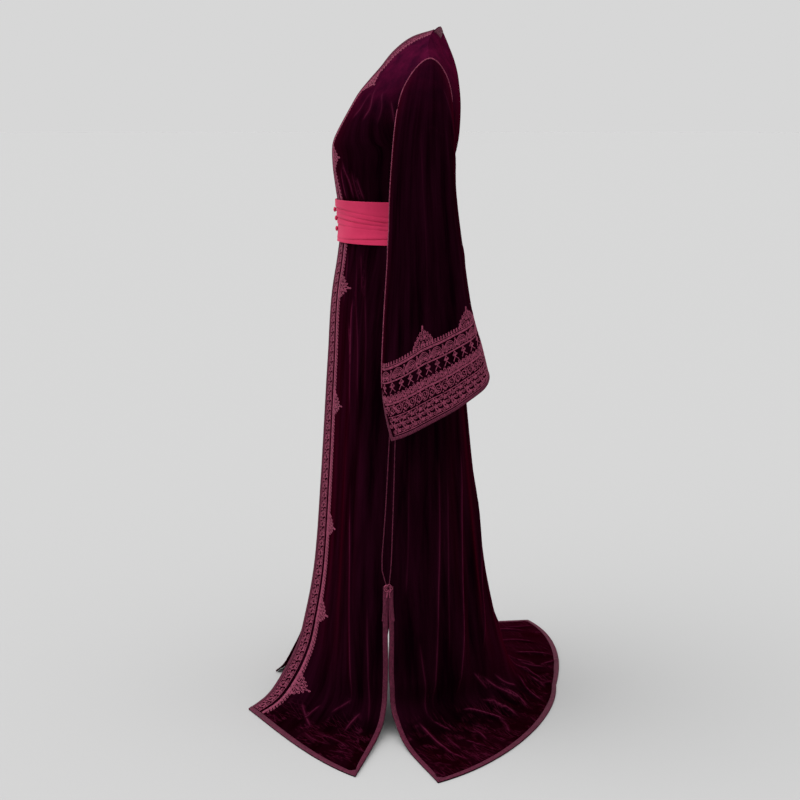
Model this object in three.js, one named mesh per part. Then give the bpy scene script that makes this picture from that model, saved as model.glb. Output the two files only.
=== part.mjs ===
// A long velvet caftan, hollow, in the shape it takes on a standing figure: two front panels that meet edge to edge,
// one back panel with a train, two wide slanted sleeves, a pleated sash, and trims of braid and couched cord.
//
// Millimetres. +X is the wearer's left, +Y the wearer's back, +Z up. The tables measure heights from the floor; the
// finished group is moved so that its origin lies between the shoulder seams, where a wearer's shoulders hold it.

import * as THREE from "three";

// ---------------------------------------------------------------- driving sizes
const SHOULDER_HEIGHT = 1455; // middle of a shoulder seam, above the floor
const SHOULDER_SETBACK = 63; // how far behind the middle of the figure the shoulder seams run
const VELVET = 2; // thickness of the pile cloth
const SASH_CLOTH = 2.5; // thickness of the sash, folded over itself
const TRIM = 1.2; // thickness of braid and of couched cord
const GAP = 0.3; // air between two pieces that are sewn together
const EDGE_HALF_GAP = 2; // each front edge stops this far from the middle line
const HEM_LIFT = 1.6; // middle of the cloth above the floor where it lies flat

const FRONT_BRAID = 9; // woven braid on the front edges and round the neck
const HEM_BRAID = 10; // braid round the hem and up both side slits
const CUFF_BRAID = 8; // braid on the sleeve hem
const CUFF_BAND = 154; // depth of the embroidery above the cuff braid
const CUFF_PEAK = 42; // height of the points that stand on the cuff band
const CUFF_PEAKS = [5, 8, 12, 15]; // columns, counted from the slit, that carry those points
const CUFF_SLIT = 96; // the front seam of a sleeve is open this far above its hem
const SLIT_SPREAD = 12; // degrees by which each side of that slit draws back at the hem
const SLIT_SPACE = 4; // bare cloth between braid and embroidery where the braid turns over the slit
const TRIM_SPACE = 1; // bare cloth between two trims that run side by side
const PIPING = 1.4; // radius of the cord on armholes, sleeve fronts and side seams
const PIPING_CLEAR = 1.6; // air under the armhole piping, which bridges the curved seam

// ---------------------------------------------------------------- small helpers
const V = (x, y, z) => new THREE.Vector3(x, y, z);
const mix = (a, b, t) => a + (b - a) * t;
const mixAll = (a, b, t) => a.map((value, n) => mix(value, b[n], t));
const clamp01 = (t) => Math.min(1, Math.max(0, t));
const ease = (t) => clamp01(t) ** 2 * (3 - 2 * clamp01(t));
const range = (count) => Array.from({ length: count }, (_, n) => n);

// Smooth curve through rows of numbers at rising places: each number follows a cubic whose slope at a row comes from
// its two neighbours.
function smoothTable(places, rows) {
  const last = places.length - 1;
  const rise = (from, to, n) => (rows[to][n] - rows[from][n]) / (places[to] - places[from]);
  const slopes = rows.map((row, k) =>
    row.map((_, n) => {
      if (k === 0 || k === last) return rise(Math.max(0, k - 1), Math.min(last, k + 1), n);
      const stepIn = places[k] - places[k - 1];
      const stepOut = places[k + 1] - places[k];
      return (rise(k - 1, k, n) * stepOut + rise(k, k + 1, n) * stepIn) / (stepIn + stepOut);
    }),
  );
  return (place) => {
    let k = 0;
    while (k < last - 1 && place > places[k + 1]) k += 1;
    const step = places[k + 1] - places[k];
    const t = (place - places[k]) / step;
    const start = 2 * t ** 3 - 3 * t ** 2 + 1;
    const leave = (t ** 3 - 2 * t ** 2 + t) * step;
    const arrive = (t ** 3 - t ** 2) * step;
    return rows[k].map(
      (value, n) => start * value + leave * slopes[k][n] + (1 - start) * rows[k + 1][n] + arrive * slopes[k + 1][n],
    );
  };
}

// ---------------------------------------------------------------- the armhole, which front, back and sleeve share
const ARMHOLE = { x: 178, y: 53, z: 1338, leanX: 12, leanY: 10, halfHeight: 93, halfWidth: 53, hollow: 11 };
const ARCH = 1.4; // 1 makes the upper half of the armhole half an ellipse, and more makes it a pointed arch
const ARMHOLE_STEP = 18; // degrees between two rows of a panel, and between two columns of a sleeve

// Cosine and sine of a place round the armhole, drawn out to a point at the top.
function arched(a) {
  const power = Math.cos(a) > 0 ? ARCH : 1;
  return [Math.cos(a), Math.sin(a)].map((value) => Math.sign(value) * Math.abs(value) ** power);
}

// A point of the armhole: 0 is the shoulder tip, -90 its front, +90 its back, 180 under the arm.
function armhole(degrees) {
  const a = THREE.MathUtils.degToRad(degrees);
  const [rise, side] = arched(a);
  return [
    ARMHOLE.x + ARMHOLE.leanX * rise - ARMHOLE.hollow * Math.sin(a) ** 2,
    ARMHOLE.y + ARMHOLE.leanY * rise + ARMHOLE.halfWidth * side,
    ARMHOLE.z + ARMHOLE.halfHeight * rise,
  ];
}

// ---------------------------------------------------------------- sections
// A section crosses half a panel from its inner edge (the front opening, or the centre back) to its outer edge
// (armhole, side seam or slit). It is one cubic curve: an end, two pulls and an end.
const lineSection = (inner, outer) => [0, 1 / 3, 2 / 3, 1].map((t) => mixAll(inner, outer, t));

// A quarter of a ring round the body. full is 0.55 for an ellipse and more where the body is squarer. prow is the
// slope at which the cloth falls back from the front edges, which stand forward as a blunt ridge.
const ringSection = (inner, outer, full, prow = 0) => [
  inner,
  [mix(inner[0], outer[0], full), inner[1] + prow * full * (outer[0] - inner[0]), mix(inner[2], outer[2], 1 / 3)],
  [outer[0], mix(outer[1], inner[1], full), mix(inner[2], outer[2], 2 / 3)],
  outer,
];

// A section of the skirt's foot, whose pulls are given in plan as [x, y].
const footSection = (inner, innerPull, outerPull, outer) => [
  inner,
  [...innerPull, mix(inner[2], outer[2], 1 / 3)],
  [...outerPull, mix(inner[2], outer[2], 2 / 3)],
  outer,
];

// A section that ends on the armhole: straight at the shoulder, and a ring round the body from the chest down.
const CHEST = { fullAtShoulder: 0.6, fullAtUnderarm: 0.66, roundFrom: 110 }; // roundFrom in degrees round the armhole
function armholeSection(inner, degrees) {
  const turned = Math.abs(degrees);
  const outer = armhole(degrees);
  const straight = lineSection(inner, outer);
  const round = ringSection(inner, outer, mix(CHEST.fullAtShoulder, CHEST.fullAtUnderarm, turned / 180));
  return straight.map((point, k) => mixAll(point, round[k], ease(turned / CHEST.roundFrom)));
}

// The back neck and the shoulder seam are one curve, from the centre back to the shoulder tip. The front hangs from
// its later part, beyond the point of the neck.
const YOKE = [[0, 88, 1498], [60, 92, 1508], [104, 48, 1484], armhole(0)];
const NECK_SHARE = 0.45;
const SEAM_NORMAL = V(0.4, 0, 0.92).normalize(); // square to the left shoulder seam

// The part of a section beyond a share of it.
function laterPart(section, share) {
  const between = (points) => points.slice(1).map((point, k) => mixAll(points[k], point, share));
  const once = between(section);
  const twice = between(once);
  return [between(twice)[0], twice[1], once[2], section[3]];
}

// Where each row above the bust begins, on the neck edge of the front and on the centre back. Row n ends on the
// armhole, n steps round from the shoulder tip.
const FRONT_TOP = [
  { x: 77, y: 22, z: 1474 },
  { x: 70, y: -14, z: 1446 },
  { x: 61, y: -42, z: 1412 },
  { x: 51, y: -66, z: 1385 }, // upper point of the front trim
  { x: 41, y: -88, z: 1358 },
  { x: 31, y: -106, z: 1328 },
  { x: 22, y: -122, z: 1300 },
  { x: 14, y: -134, z: 1278 },
  { x: 7, y: -142, z: 1261 },
  { x: 2, y: -146, z: 1247 }, // foot of the neckline, level with the underarm
];
const BACK_TOP = [
  { x: 0, y: 93, z: 1488 },
  { x: 0, y: 106, z: 1458 },
  { x: 0, y: 117, z: 1430 },
  { x: 0, y: 125, z: 1400 },
  { x: 0, y: 129, z: 1370 },
  { x: 0, y: 131, z: 1342 },
  { x: 0, y: 131, z: 1315 },
  { x: 0, y: 130, z: 1290 },
  { x: 0, y: 128, z: 1267 },
  { x: 0, y: 125, z: 1247 },
];

// Level rings that front and back share from the bust to the top of the slit.
const BODY = [
  { z: 1230, front: -147, back: 121, sideX: 162, sideY: 47, full: 0.66, prow: 0.05 },
  { z: 1205, front: -146, back: 115, sideX: 155, sideY: 42, full: 0.65, prow: 0.05 }, // bust
  { z: 1148, front: -139, back: 97, sideX: 139, sideY: 32, full: 0.6, prow: 0.08 }, // ribs
  { z: 1075, front: -129, back: 79, sideX: 127, sideY: 22, full: 0.57, prow: 0.12 }, // waist
  { z: 1010, front: -136, back: 97, sideX: 146, sideY: 14, full: 0.56, prow: 0.2 }, // top of the hip
  { z: 930, front: -149, back: 126, sideX: 176, sideY: 4, full: 0.56, prow: 0.3 }, // hip
  { z: 780, front: -160, back: 138, sideX: 204, sideY: -9, full: 0.56, prow: 0.42 }, // thigh
  { z: 500, front: -178, back: 161, sideX: 234, sideY: -20, full: 0.55, prow: 0.55 }, // knee
  { z: 350, front: -189, back: 178, sideX: 249, sideY: -24, full: 0.55, prow: 0.62 },
  { z: 320, front: -192, back: 182, sideX: 252, sideY: -25, full: 0.55, prow: 0.64 }, // top of the slit
];

// The front edge swings away from the middle line below the thigh.
const SWING = { by: 30, from: 800, to: 100 }; // by in mm, from and to heights
const edgeSwing = (z) => EDGE_HALF_GAP + SWING.by * ease((SWING.from - z) / (SWING.from - SWING.to)) ** 2;

const bodySection = (row, innerX, innerY, prow) =>
  ringSection([innerX, innerY, row.z], [row.sideX, row.sideY, row.z], row.full, prow);

const frontSections = (foot) => [
  laterPart(YOKE, NECK_SHARE),
  ...FRONT_TOP.map(({ x, y, z }, n) => armholeSection([x, y, z], -ARMHOLE_STEP * (n + 1))),
  ...BODY.map((row) => bodySection(row, edgeSwing(row.z), row.front, row.prow)),
  ...foot,
];

const backSections = (foot) => [
  YOKE,
  ...BACK_TOP.map(({ x, y, z }, n) => armholeSection([x, y, z], ARMHOLE_STEP * (n + 1))),
  ...BODY.map((row) => bodySection(row, 0, row.back)),
  ...foot,
];

// Below the slit each quarter of the skirt swings out on its own and ends flat on the floor. The right quarters are
// mirrored into place, so their +x is the wearer's right.
const FRONT_LEFT_FOOT = [
  ringSection([42, -211, 210], [263, -26, 210], 0.52, 0.75),
  ringSection([58, -233, 128], [268, -26, 118], 0.5, 0.85),
  footSection([82, -262, 74], [140, -208], [264, -128], [280, -30, 52]),
  footSection([107, -298, 25], [184, -240], [326, -148], [342, -46, 13]),
  footSection([138, -338, HEM_LIFT], [232, -287], [446, -192], [541, -90, HEM_LIFT]),
];
const FRONT_RIGHT_FOOT = [
  ringSection([42, -210, 210], [263, -26, 210], 0.52, 0.75),
  ringSection([60, -228, 128], [268, -26, 118], 0.5, 0.85),
  footSection([86, -251, 74], [142, -200], [262, -122], [280, -29, 52]),
  footSection([110, -276, 25], [180, -226], [320, -140], [338, -42, 13]),
  footSection([132, -295, HEM_LIFT], [222, -258], [436, -174], [541, -80, HEM_LIFT]),
];
const BACK_LEFT_FOOT = [
  ringSection([0, 204, 210], [263, -23.6, 210], 0.52),
  ringSection([0, 238, 105], [268, -23, 105], 0.48),
  footSection([0, 272, 34], [110, 264], [258, 110], [290, -14, 36]),
  footSection([-12, 314, 6], [148, 298], [340, 160], [390, 14, 6]),
  footSection([-30, 363, HEM_LIFT], [192, 351], [466, 226], [573, 76, HEM_LIFT]),
];
// The right half of the train is swept further back than the left.
const BACK_RIGHT_FOOT = [
  ringSection([0, 204, 210], [264, -16, 210], 0.52),
  ringSection([0, 238, 105], [276, 20, 110], 0.48),
  footSection([0, 272, 34], [110, 282], [285, 190], [318, 84, 70]),
  footSection([12, 314, 6], [140, 332], [350, 300], [424, 210, 36]),
  footSection([30, 363, HEM_LIFT], [170, 388], [400, 410], [553, 334, HEM_LIFT]),
];

// ---------------------------------------------------------------- folds
// Soft ridges in the skirt. place is the share of the way from the inner edge to the side seam, top and foot are the
// heights where a ridge begins and where it is deepest, width and depth are its size there.
const FRONT_FOLDS = [
  { place: 0.36, top: 1000, foot: 260, width: 62, depth: 8 },
  { place: 0.58, top: 960, foot: 300, width: 58, depth: 11 },
  { place: 0.78, top: 900, foot: 240, width: 56, depth: 10 },
];
const BACK_FOLDS = [
  { place: 0.12, top: 930, foot: 260, width: 70, depth: 10 },
  { place: 0.36, top: 980, foot: 300, width: 64, depth: 13 },
  { place: 0.6, top: 900, foot: 240, width: 70, depth: 14 },
  { place: 0.8, top: 950, foot: 280, width: 56, depth: 10 },
];
const FOLD_END = 24; // height at which every fold has died away into the cloth on the floor

function foldLift(folds, share, width, height) {
  return folds.reduce((sum, fold) => {
    const away = ((share - fold.place) * width) / (fold.width / 2);
    const grown = ease((fold.top - height) / (fold.top - fold.foot));
    const fading = ease((height - FOLD_END) / (fold.foot - FOLD_END));
    return sum + fold.depth * grown * fading * Math.exp(-(away ** 2));
  }, 0);
}

// ---------------------------------------------------------------- half a panel as a smooth surface
const SECTION_STEPS = 32; // chords that measure the length of a section
const SLOPE_STEP = 1; // mm either side over which a slope is measured

// down is measured along the inner edge from the top, across along the section from the inner edge.
class HalfPanel {
  constructor(sections, folds, isBack = false) {
    this.folds = folds;
    this.isBack = isBack;
    this.rowPlaces = [0];
    sections.slice(1).forEach(([inner], k) => {
      this.rowPlaces.push(this.rowPlaces[k] + V(...inner).distanceTo(V(...sections[k][0])));
    });
    this.length = this.rowPlaces[sections.length - 1];
    this.numbers = smoothTable(this.rowPlaces, sections.map((section) => section.flat()));
  }

  section(down) {
    const numbers = this.numbers(down);
    const ends = [0, 3, 6, 9].map((n) => V(...numbers.slice(n, n + 3)));
    const curve = new THREE.CubicBezierCurve3(...ends);
    curve.arcLengthDivisions = SECTION_STEPS;
    return curve;
  }

  width(down) {
    return this.section(down).getLength();
  }

  at(down, across) {
    const curve = this.section(down);
    const width = curve.getLength();
    const share = clamp01(across / width);
    const point = curve.getPointAt(share);
    const along = curve.getTangentAt(share);
    const outward = V(along.y, -along.x, 0).normalize();
    if (this.isBack) outward.negate();
    return point.addScaledVector(outward, foldLift(this.folds, share, width, point.z));
  }

  // Square to the cloth, on the side away from the wearer.
  normalAt(down, across) {
    const share = clamp01(across / this.width(down));
    const above = Math.max(0, down - SLOPE_STEP);
    const below = Math.min(this.length, down + SLOPE_STEP);
    const fall = this.at(below, share * this.width(below)).sub(this.at(above, share * this.width(above)));
    const before = Math.max(0, across - SLOPE_STEP);
    const after = Math.min(this.width(down), across + SLOPE_STEP);
    const found = fall.cross(this.at(down, after).sub(this.at(down, before))).normalize();
    return this.isBack ? found.negate() : found;
  }

  // How far down the inner edge passes a height.
  downAt(height) {
    let [low, high] = [0, this.length];
    while (high - low > 0.001) {
      const middle = (low + high) / 2;
      if (this.numbers(middle)[2] > height) low = middle;
      else high = middle;
    }
    return low;
  }
}

// ---------------------------------------------------------------- solids from a grid of points
function solid(points, faces) {
  const geometry = new THREE.BufferGeometry();
  geometry.setAttribute("position", new THREE.Float32BufferAttribute(points.flatMap((p) => p.toArray()), 3));
  geometry.setIndex(faces.flat());
  return geometry;
}

// A cloth is a grid of points on the middle of its wall, with the outward direction at each. inward is true where
// going across and then down turns towards the wearer. flips names the cells that are cut along their other diagonal,
// so that a pointed patch can follow the cloth's own triangles.
class Cloth {
  constructor(rows, columns, place, { inward = false, closed = false, flips = () => false, normal = null } = {}) {
    Object.assign(this, { rows, columns, inward, closed, flips });
    this.points = range(rows).map((i) => range(columns).map((j) => place(i, j)));
    const direction = normal ?? ((i, j) => this.slopeNormal(i, j));
    this.normals = range(rows).map((i) => range(columns).map((j) => direction(i, j)));
  }

  column(j) {
    return this.closed ? (j + this.columns) % this.columns : Math.min(this.columns - 1, Math.max(0, j));
  }

  slopeNormal(i, j) {
    const down = this.points[Math.min(this.rows - 1, i + 1)][j].clone().sub(this.points[Math.max(0, i - 1)][j]);
    const across = this.points[i][this.column(j + 1)].clone().sub(this.points[i][this.column(j - 1)]);
    const out = across.cross(down).normalize();
    return this.inward ? out.negate() : out;
  }

  // The two triangles of a cell, facing outward, with corners as [row, column].
  cell(i, j) {
    const next = this.column(j + 1);
    const [a, b, c, d] = [[i, j], [i, next], [i + 1, next], [i + 1, j]];
    const pair = this.flips(i, j) ? [[a, b, d], [b, c, d]] : [[a, b, c], [a, c, d]];
    return pair.map((triangle) => (this.inward ? [...triangle].reverse() : triangle));
  }

  block(fromRow, toRow, fromColumn, toColumn) {
    const found = [];
    for (let i = fromRow; i < toRow; i += 1) {
      for (let j = fromColumn; j < toColumn; j += 1) found.push(...this.cell(i, j));
    }
    return found;
  }

  // A point of the grid, moved out of the cloth by a distance.
  raised(i, j, distance) {
    return this.points[i][this.column(j)].clone().addScaledVector(this.normals[i][this.column(j)], distance);
  }

  // Closes some of the cloth's triangles into a wall that reaches from one distance to another.
  wall(triangles, low, high) {
    const index = new Map();
    const spots = [];
    const id = ([i, j]) => {
      const key = i * this.columns + j;
      if (!index.has(key)) {
        index.set(key, spots.length);
        spots.push([i, j]);
      }
      return index.get(key);
    };
    const outer = triangles.map((triangle) => triangle.map(id));
    const count = spots.length;
    const faces = outer.flatMap(([a, b, c]) => [[a, b, c], [a + count, c + count, b + count]]);
    const edges = new Set(outer.flatMap(([a, b, c]) => [`${a},${b}`, `${b},${c}`, `${c},${a}`]));
    for (const edge of edges) {
      const [a, b] = edge.split(",").map(Number);
      if (!edges.has(`${b},${a}`)) faces.push([b, a, a + count], [b, a + count, b + count]);
    }
    const face = (distance) => spots.map(([i, j]) => this.raised(i, j, distance));
    return solid([...face(high), ...face(low)], faces);
  }

  body(thickness) {
    const columns = this.closed ? this.columns : this.columns - 1;
    return this.wall(this.block(0, this.rows - 1, 0, columns), -thickness / 2, thickness / 2);
  }

  // A flat trim on the outer face.
  trim(triangles) {
    const low = VELVET / 2 + GAP;
    return this.wall(triangles, low, low + TRIM);
  }

  // A cord along one column.
  piping(column, fromRow, toRow) {
    const rows = range(toRow - fromRow + 1).map((n) => fromRow + n);
    return tube(rows.map((i) => this.raised(i, column, VELVET / 2 + GAP + PIPING)), PIPING);
  }
}

// A round cord through points, with flat ends unless it is closed on itself. No cord here runs along X.
function tube(points, radius, { closed = false, sides = 6 } = {}) {
  const count = points.length;
  const places = points.flatMap((point, k) => {
    const ahead = closed ? points[(k + 1) % count] : points[Math.min(count - 1, k + 1)];
    const behind = closed ? points[(k + count - 1) % count] : points[Math.max(0, k - 1)];
    const along = ahead.clone().sub(behind).normalize();
    const u = V(1, 0, 0).cross(along).normalize();
    const w = along.clone().cross(u);
    return range(sides).map((n) => {
      const a = (2 * Math.PI * n) / sides;
      return point.clone().addScaledVector(u, radius * Math.cos(a)).addScaledVector(w, radius * Math.sin(a));
    });
  });
  const corner = (k, n) => (k % count) * sides + (n % sides);
  const faces = range(closed ? count : count - 1).flatMap((k) =>
    range(sides).flatMap((n) => [
      [corner(k, n), corner(k, n + 1), corner(k + 1, n + 1)],
      [corner(k, n), corner(k + 1, n + 1), corner(k + 1, n)],
    ]),
  );
  if (!closed) {
    for (const n of range(sides).slice(1, -1)) {
      faces.push([corner(0, 0), corner(0, n + 1), corner(0, n)]);
      faces.push([corner(count - 1, 0), corner(count - 1, n), corner(count - 1, n + 1)]);
    }
  }
  return solid(places, faces);
}

// ---------------------------------------------------------------- rows of the panels
// Heights of the rows that front and back share below the underarm. A row with a point carries the tip of one of the
// pointed patches beside the front trim; the rows above and below it carry the ends of that patch.
const BODY_ROWS = [
  { z: 1222, point: true },
  { z: 1197 },
  { z: 1150 },
  { z: 1112 },
  { z: 1075 },
  { z: 1040 },
  { z: 1005 },
  { z: 967 },
  { z: 942, point: true },
  { z: 917 },
  { z: 790 },
  { z: 707 },
  { z: 682, point: true },
  { z: 657 },
  { z: 545 },
  { z: 434 },
  { z: 409, point: true },
  { z: 384 },
  { z: 318 }, // top of the slit
];
const FRONT_FOOT_ROWS = [
  { z: 241 },
  { z: 216, point: true },
  { z: 191 },
  { z: 132 },
  { z: 87 },
  { z: 62, point: true },
  { z: 37 },
  { z: 17 },
];
const BACK_FOOT_ROWS = [{ z: 262 }, { z: 205 }, { z: 150 }, { z: 100 }, { z: 62 }, { z: 32 }, { z: 13 }, { z: 5 }];
const TOP_POINT_ROW = 4; // the row above the bust that carries a tip
const SLIT_ROW = FRONT_TOP.length + BODY_ROWS.length;

// The rows of a panel: how far down each lies, and whether it carries a tip.
function panelRows(panel, footRows) {
  const top = range(FRONT_TOP.length + 1).map((n) => ({
    down: n === 0 ? GAP : panel.rowPlaces[n],
    point: n === TOP_POINT_ROW,
  }));
  const lower = [...BODY_ROWS, ...footRows].map(({ z, point = false }) => ({ down: panel.downAt(z), point }));
  const hem = [HEM_BRAID + TRIM_SPACE, HEM_BRAID, 0].map((above) => ({ down: panel.length - above, point: false }));
  return [...top, ...lower, ...hem];
}

// ---------------------------------------------------------------- front panels and their trims
// Distances from the front edge of the lines that bound the trims, at the neck and on the skirt.
const FRONT_LINES = [
  { name: "edge", neck: 0, skirt: 0 },
  { name: "braidEnd", neck: FRONT_BRAID, skirt: FRONT_BRAID },
  { name: "bandStart", neck: FRONT_BRAID + TRIM_SPACE, skirt: FRONT_BRAID + TRIM_SPACE },
  { name: "bandEnd", neck: 16, skirt: 36 },
  { name: "picotStart", neck: 20, skirt: 47 },
  { name: "picotEnd", neck: 28, skirt: 64 },
  { name: "tip", neck: 60, skirt: 110 },
];
const LINE = Object.fromEntries(FRONT_LINES.map(({ name }, n) => [name, n]));
const LINES_SPREAD = { from: 1400, to: 960 }; // heights between which the trims reach their full width
const PLAIN_STEPS = 4; // columns between the tips and the braid at the side
const SIDE_LINE = FRONT_LINES.length - 1 + PLAIN_STEPS; // column where the slit's braid begins

function frontColumns(panel, down) {
  const spread = ease((LINES_SPREAD.from - panel.at(down, 0).z) / (LINES_SPREAD.from - LINES_SPREAD.to));
  const lines = FRONT_LINES.map(({ neck, skirt }) => mix(neck, skirt, spread));
  const edge = panel.width(down) - GAP;
  const plain = range(PLAIN_STEPS).map((n) => mix(lines[LINE.tip], edge - HEM_BRAID, (n + 1) / PLAIN_STEPS));
  return [...lines, ...plain, edge];
}

function frontPanel(side, foot) {
  const mirror = side === "left" ? 1 : -1;
  const panel = new HalfPanel(frontSections(foot), FRONT_FOLDS);
  const rows = panelRows(panel, FRONT_FOOT_ROWS);
  const columns = rows.map(({ down }) => frontColumns(panel, down));
  const turned = ({ x, y, z }) => V(x * mirror, y, z);
  const cloth = new Cloth(rows.length, SIDE_LINE + 2, (i, j) => turned(panel.at(rows[i].down, columns[i][j])), {
    inward: side === "left",
    flips: (i, j) => rows[i].point && j === LINE.picotEnd,
    normal: (i, j) => turned(i === 0 ? SEAM_NORMAL : panel.normalAt(rows[i].down, columns[i][j])),
  });
  return { cloth, pointRows: range(rows.length).filter((i) => rows[i].point), hemRow: rows.length - 2 };
}

// Picot braid with its points: under each tip lies one triangle above it and one below.
function picotTriangles(cloth, pointRows, lastRow) {
  const points = pointRows.flatMap((i) => [cloth.cell(i - 1, LINE.picotEnd)[1], cloth.cell(i, LINE.picotEnd)[0]]);
  return [...cloth.block(0, lastRow, LINE.picotStart, LINE.picotEnd), ...points];
}

// ---------------------------------------------------------------- back panel
const BACK_STEPS = 7; // columns from the centre back to the braid at the side
const NECK_COLUMNS = 3; // of these, how many the back neck spans

function backPanel() {
  const half = (foot) => new HalfPanel(backSections(foot), BACK_FOLDS, true);
  const [left, right] = [half(BACK_LEFT_FOOT), half(BACK_RIGHT_FOOT)];
  const rows = panelRows(left, BACK_FOOT_ROWS);
  const middle = BACK_STEPS + 1;
  const neckWidth = left.width(0) - new HalfPanel(frontSections(FRONT_LEFT_FOOT), []).width(0);
  // Which half a grid point lies on, its side of the body, and its distances down and across.
  const spot = (i, j) => {
    const n = Math.abs(j - middle);
    const side = j < middle ? right : left;
    const down = (rows[i].down / left.length) * side.length;
    const edge = side.width(down) - GAP;
    const even = ((edge - HEM_BRAID) * n) / BACK_STEPS;
    // Near the top the columns shift so that one of them meets the point of the neck.
    const beyond = mix(neckWidth, edge - HEM_BRAID, (n - NECK_COLUMNS) / (BACK_STEPS - NECK_COLUMNS));
    const fitted = n <= NECK_COLUMNS ? (neckWidth * n) / NECK_COLUMNS : beyond;
    const across = n > BACK_STEPS ? edge : mix(fitted, even, ease(i / FRONT_TOP.length));
    return { side, down, across, n, mirror: j < middle ? -1 : 1 };
  };
  const place = (i, j) => {
    const { side, down, across, mirror } = spot(i, j);
    const { x, y, z } = side.at(down, across);
    return V(x * mirror, y, z);
  };
  const normal = (i, j) => {
    const { side, down, across, mirror, n } = spot(i, j);
    const { x, y, z } = i === 0 && n >= NECK_COLUMNS ? SEAM_NORMAL : side.normalAt(down, across);
    return n === 0 ? V(0, y, z).normalize() : V(x * mirror, y, z);
  };
  const cloth = new Cloth(rows.length, 2 * middle + 1, place, { normal });
  return { cloth, middle, hemRow: rows.length - 2 };
}

// ---------------------------------------------------------------- sleeves
// Rings down the arm. rise runs from the middle of a ring to its outer side (upward at the armhole, sideways on the
// arm), half is half its width from front to back, slant is how much higher its back is than its middle.
const SLEEVE = [
  { centre: [178, 53, 1338], rise: [12, 10, 93], half: 53, slant: 0 }, // armhole
  { centre: [203, 52, 1318], rise: [24, 8, 82], half: 57, slant: 0 },
  { centre: [223, 50, 1280], rise: [33, 5, 62], half: 60, slant: 0 },
  { centre: [236, 48, 1222], rise: [38, 2, 38], half: 63, slant: 0 },
  { centre: [243, 48.5, 1143], rise: [40, 0, 14], half: 68.5, slant: 0 },
  { centre: [250, 53, 1045], rise: [41, 0, 2], half: 76, slant: 2 },
  { centre: [262, 58, 895], rise: [43, 0, -4], half: 91, slant: 19 },
  { centre: [272, 67, 797], rise: [45, 0, -11], half: 103, slant: 41 },
  { centre: [280, 80, 712], rise: [47, 0, -18], half: 105, slant: 64 }, // hem
];
const SLEEVE_COLUMNS = 360 / ARMHOLE_STEP;
const FRONT_OF_SLEEVE = SLEEVE_COLUMNS * 0.75; // the column down the front seam, at -90 degrees
const SLEEVE_ROWS = 8; // rows above the embroidered cuff
const SLEEVE_START = 4.4; // the sleeve begins this far from the armhole, under the piping
const SQUARE = 2.5; // exponent of a ring's outline where the cloth hangs free: 2 is an ellipse
const FREE = { from: 1400, to: 1200 }; // heights between which the sleeve leaves the armhole's shape for that outline
const HOLLOW = { from: 1340, to: 1270 }; // heights between which the armhole's hollow dies away
const FIRST_FOLDED = 3; // row of the sleeve's table where its ridges begin
const SLEEVE_STEPS = 80; // chords that measure the length of a column
const SLIT_REACH = 108; // degrees from the front seam beyond which no column draws back
const SLIT_RINGS = { from: 6, to: 8 }; // rows of the sleeve's table over which they do so

// Soft ridges down the sleeve: where they lie round it, and their depth and half width at the hem.
const SLEEVE_FOLDS = [
  { degrees: -48, depth: 5, width: 22 },
  { degrees: 8, depth: 6, width: 26 },
  { degrees: 52, depth: 5, width: 20 },
  { degrees: 150, depth: 6, width: 26 },
];

// A point of the sleeve: ring counts down the table, and degrees go round as on the armhole.
const sleeveNumbers = smoothTable(
  range(SLEEVE.length),
  SLEEVE.map(({ centre, rise, half, slant }) => [...centre, ...rise, half, slant]),
);
function sleevePoint(ring, degrees) {
  const [x, y, z, riseX, riseY, riseZ, half, slant] = sleeveNumbers(ring);
  const a = THREE.MathUtils.degToRad(degrees);
  const squared = (value) => Math.sign(value) * Math.abs(value) ** (2 / SQUARE);
  const free = ease((FREE.from - z) / (FREE.from - FREE.to));
  const [rise, side] = arched(a);
  const c = mix(rise, squared(Math.cos(a)), free);
  const s = mix(side, squared(Math.sin(a)), free);
  const hollow = ARMHOLE.hollow * Math.sin(a) ** 2 * ease((z - HOLLOW.to) / (HOLLOW.from - HOLLOW.to));
  const point = V(x + riseX * c - hollow, y + riseY * c + half * s, z + riseZ * c + slant * s);
  const outward = V(point.x - x, point.y - y, 0).normalize();
  const grown = ease((ring - FIRST_FOLDED) / (SLEEVE.length - 1 - FIRST_FOLDED));
  const lift = SLEEVE_FOLDS.reduce((sum, fold) => {
    const away = (((degrees - fold.degrees + 540) % 360) - 180) / fold.width;
    return sum + fold.depth * grown * Math.exp(-(away ** 2));
  }, 0);
  return point.addScaledVector(outward, lift);
}

// Where a column really lies: beside the slit the columns draw back from the front seam towards the hem.
function drawnBack(degrees, ring) {
  const fromSeam = ((degrees + 270) % 360) - 180;
  const share = fromSeam === 0 ? 0 : clamp01((SLIT_REACH - Math.abs(fromSeam)) / (SLIT_REACH - ARMHOLE_STEP));
  const low = ease((ring - SLIT_RINGS.from) / (SLIT_RINGS.to - SLIT_RINGS.from));
  return degrees + Math.sign(fromSeam) * SLIT_SPREAD * share * low;
}

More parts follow.
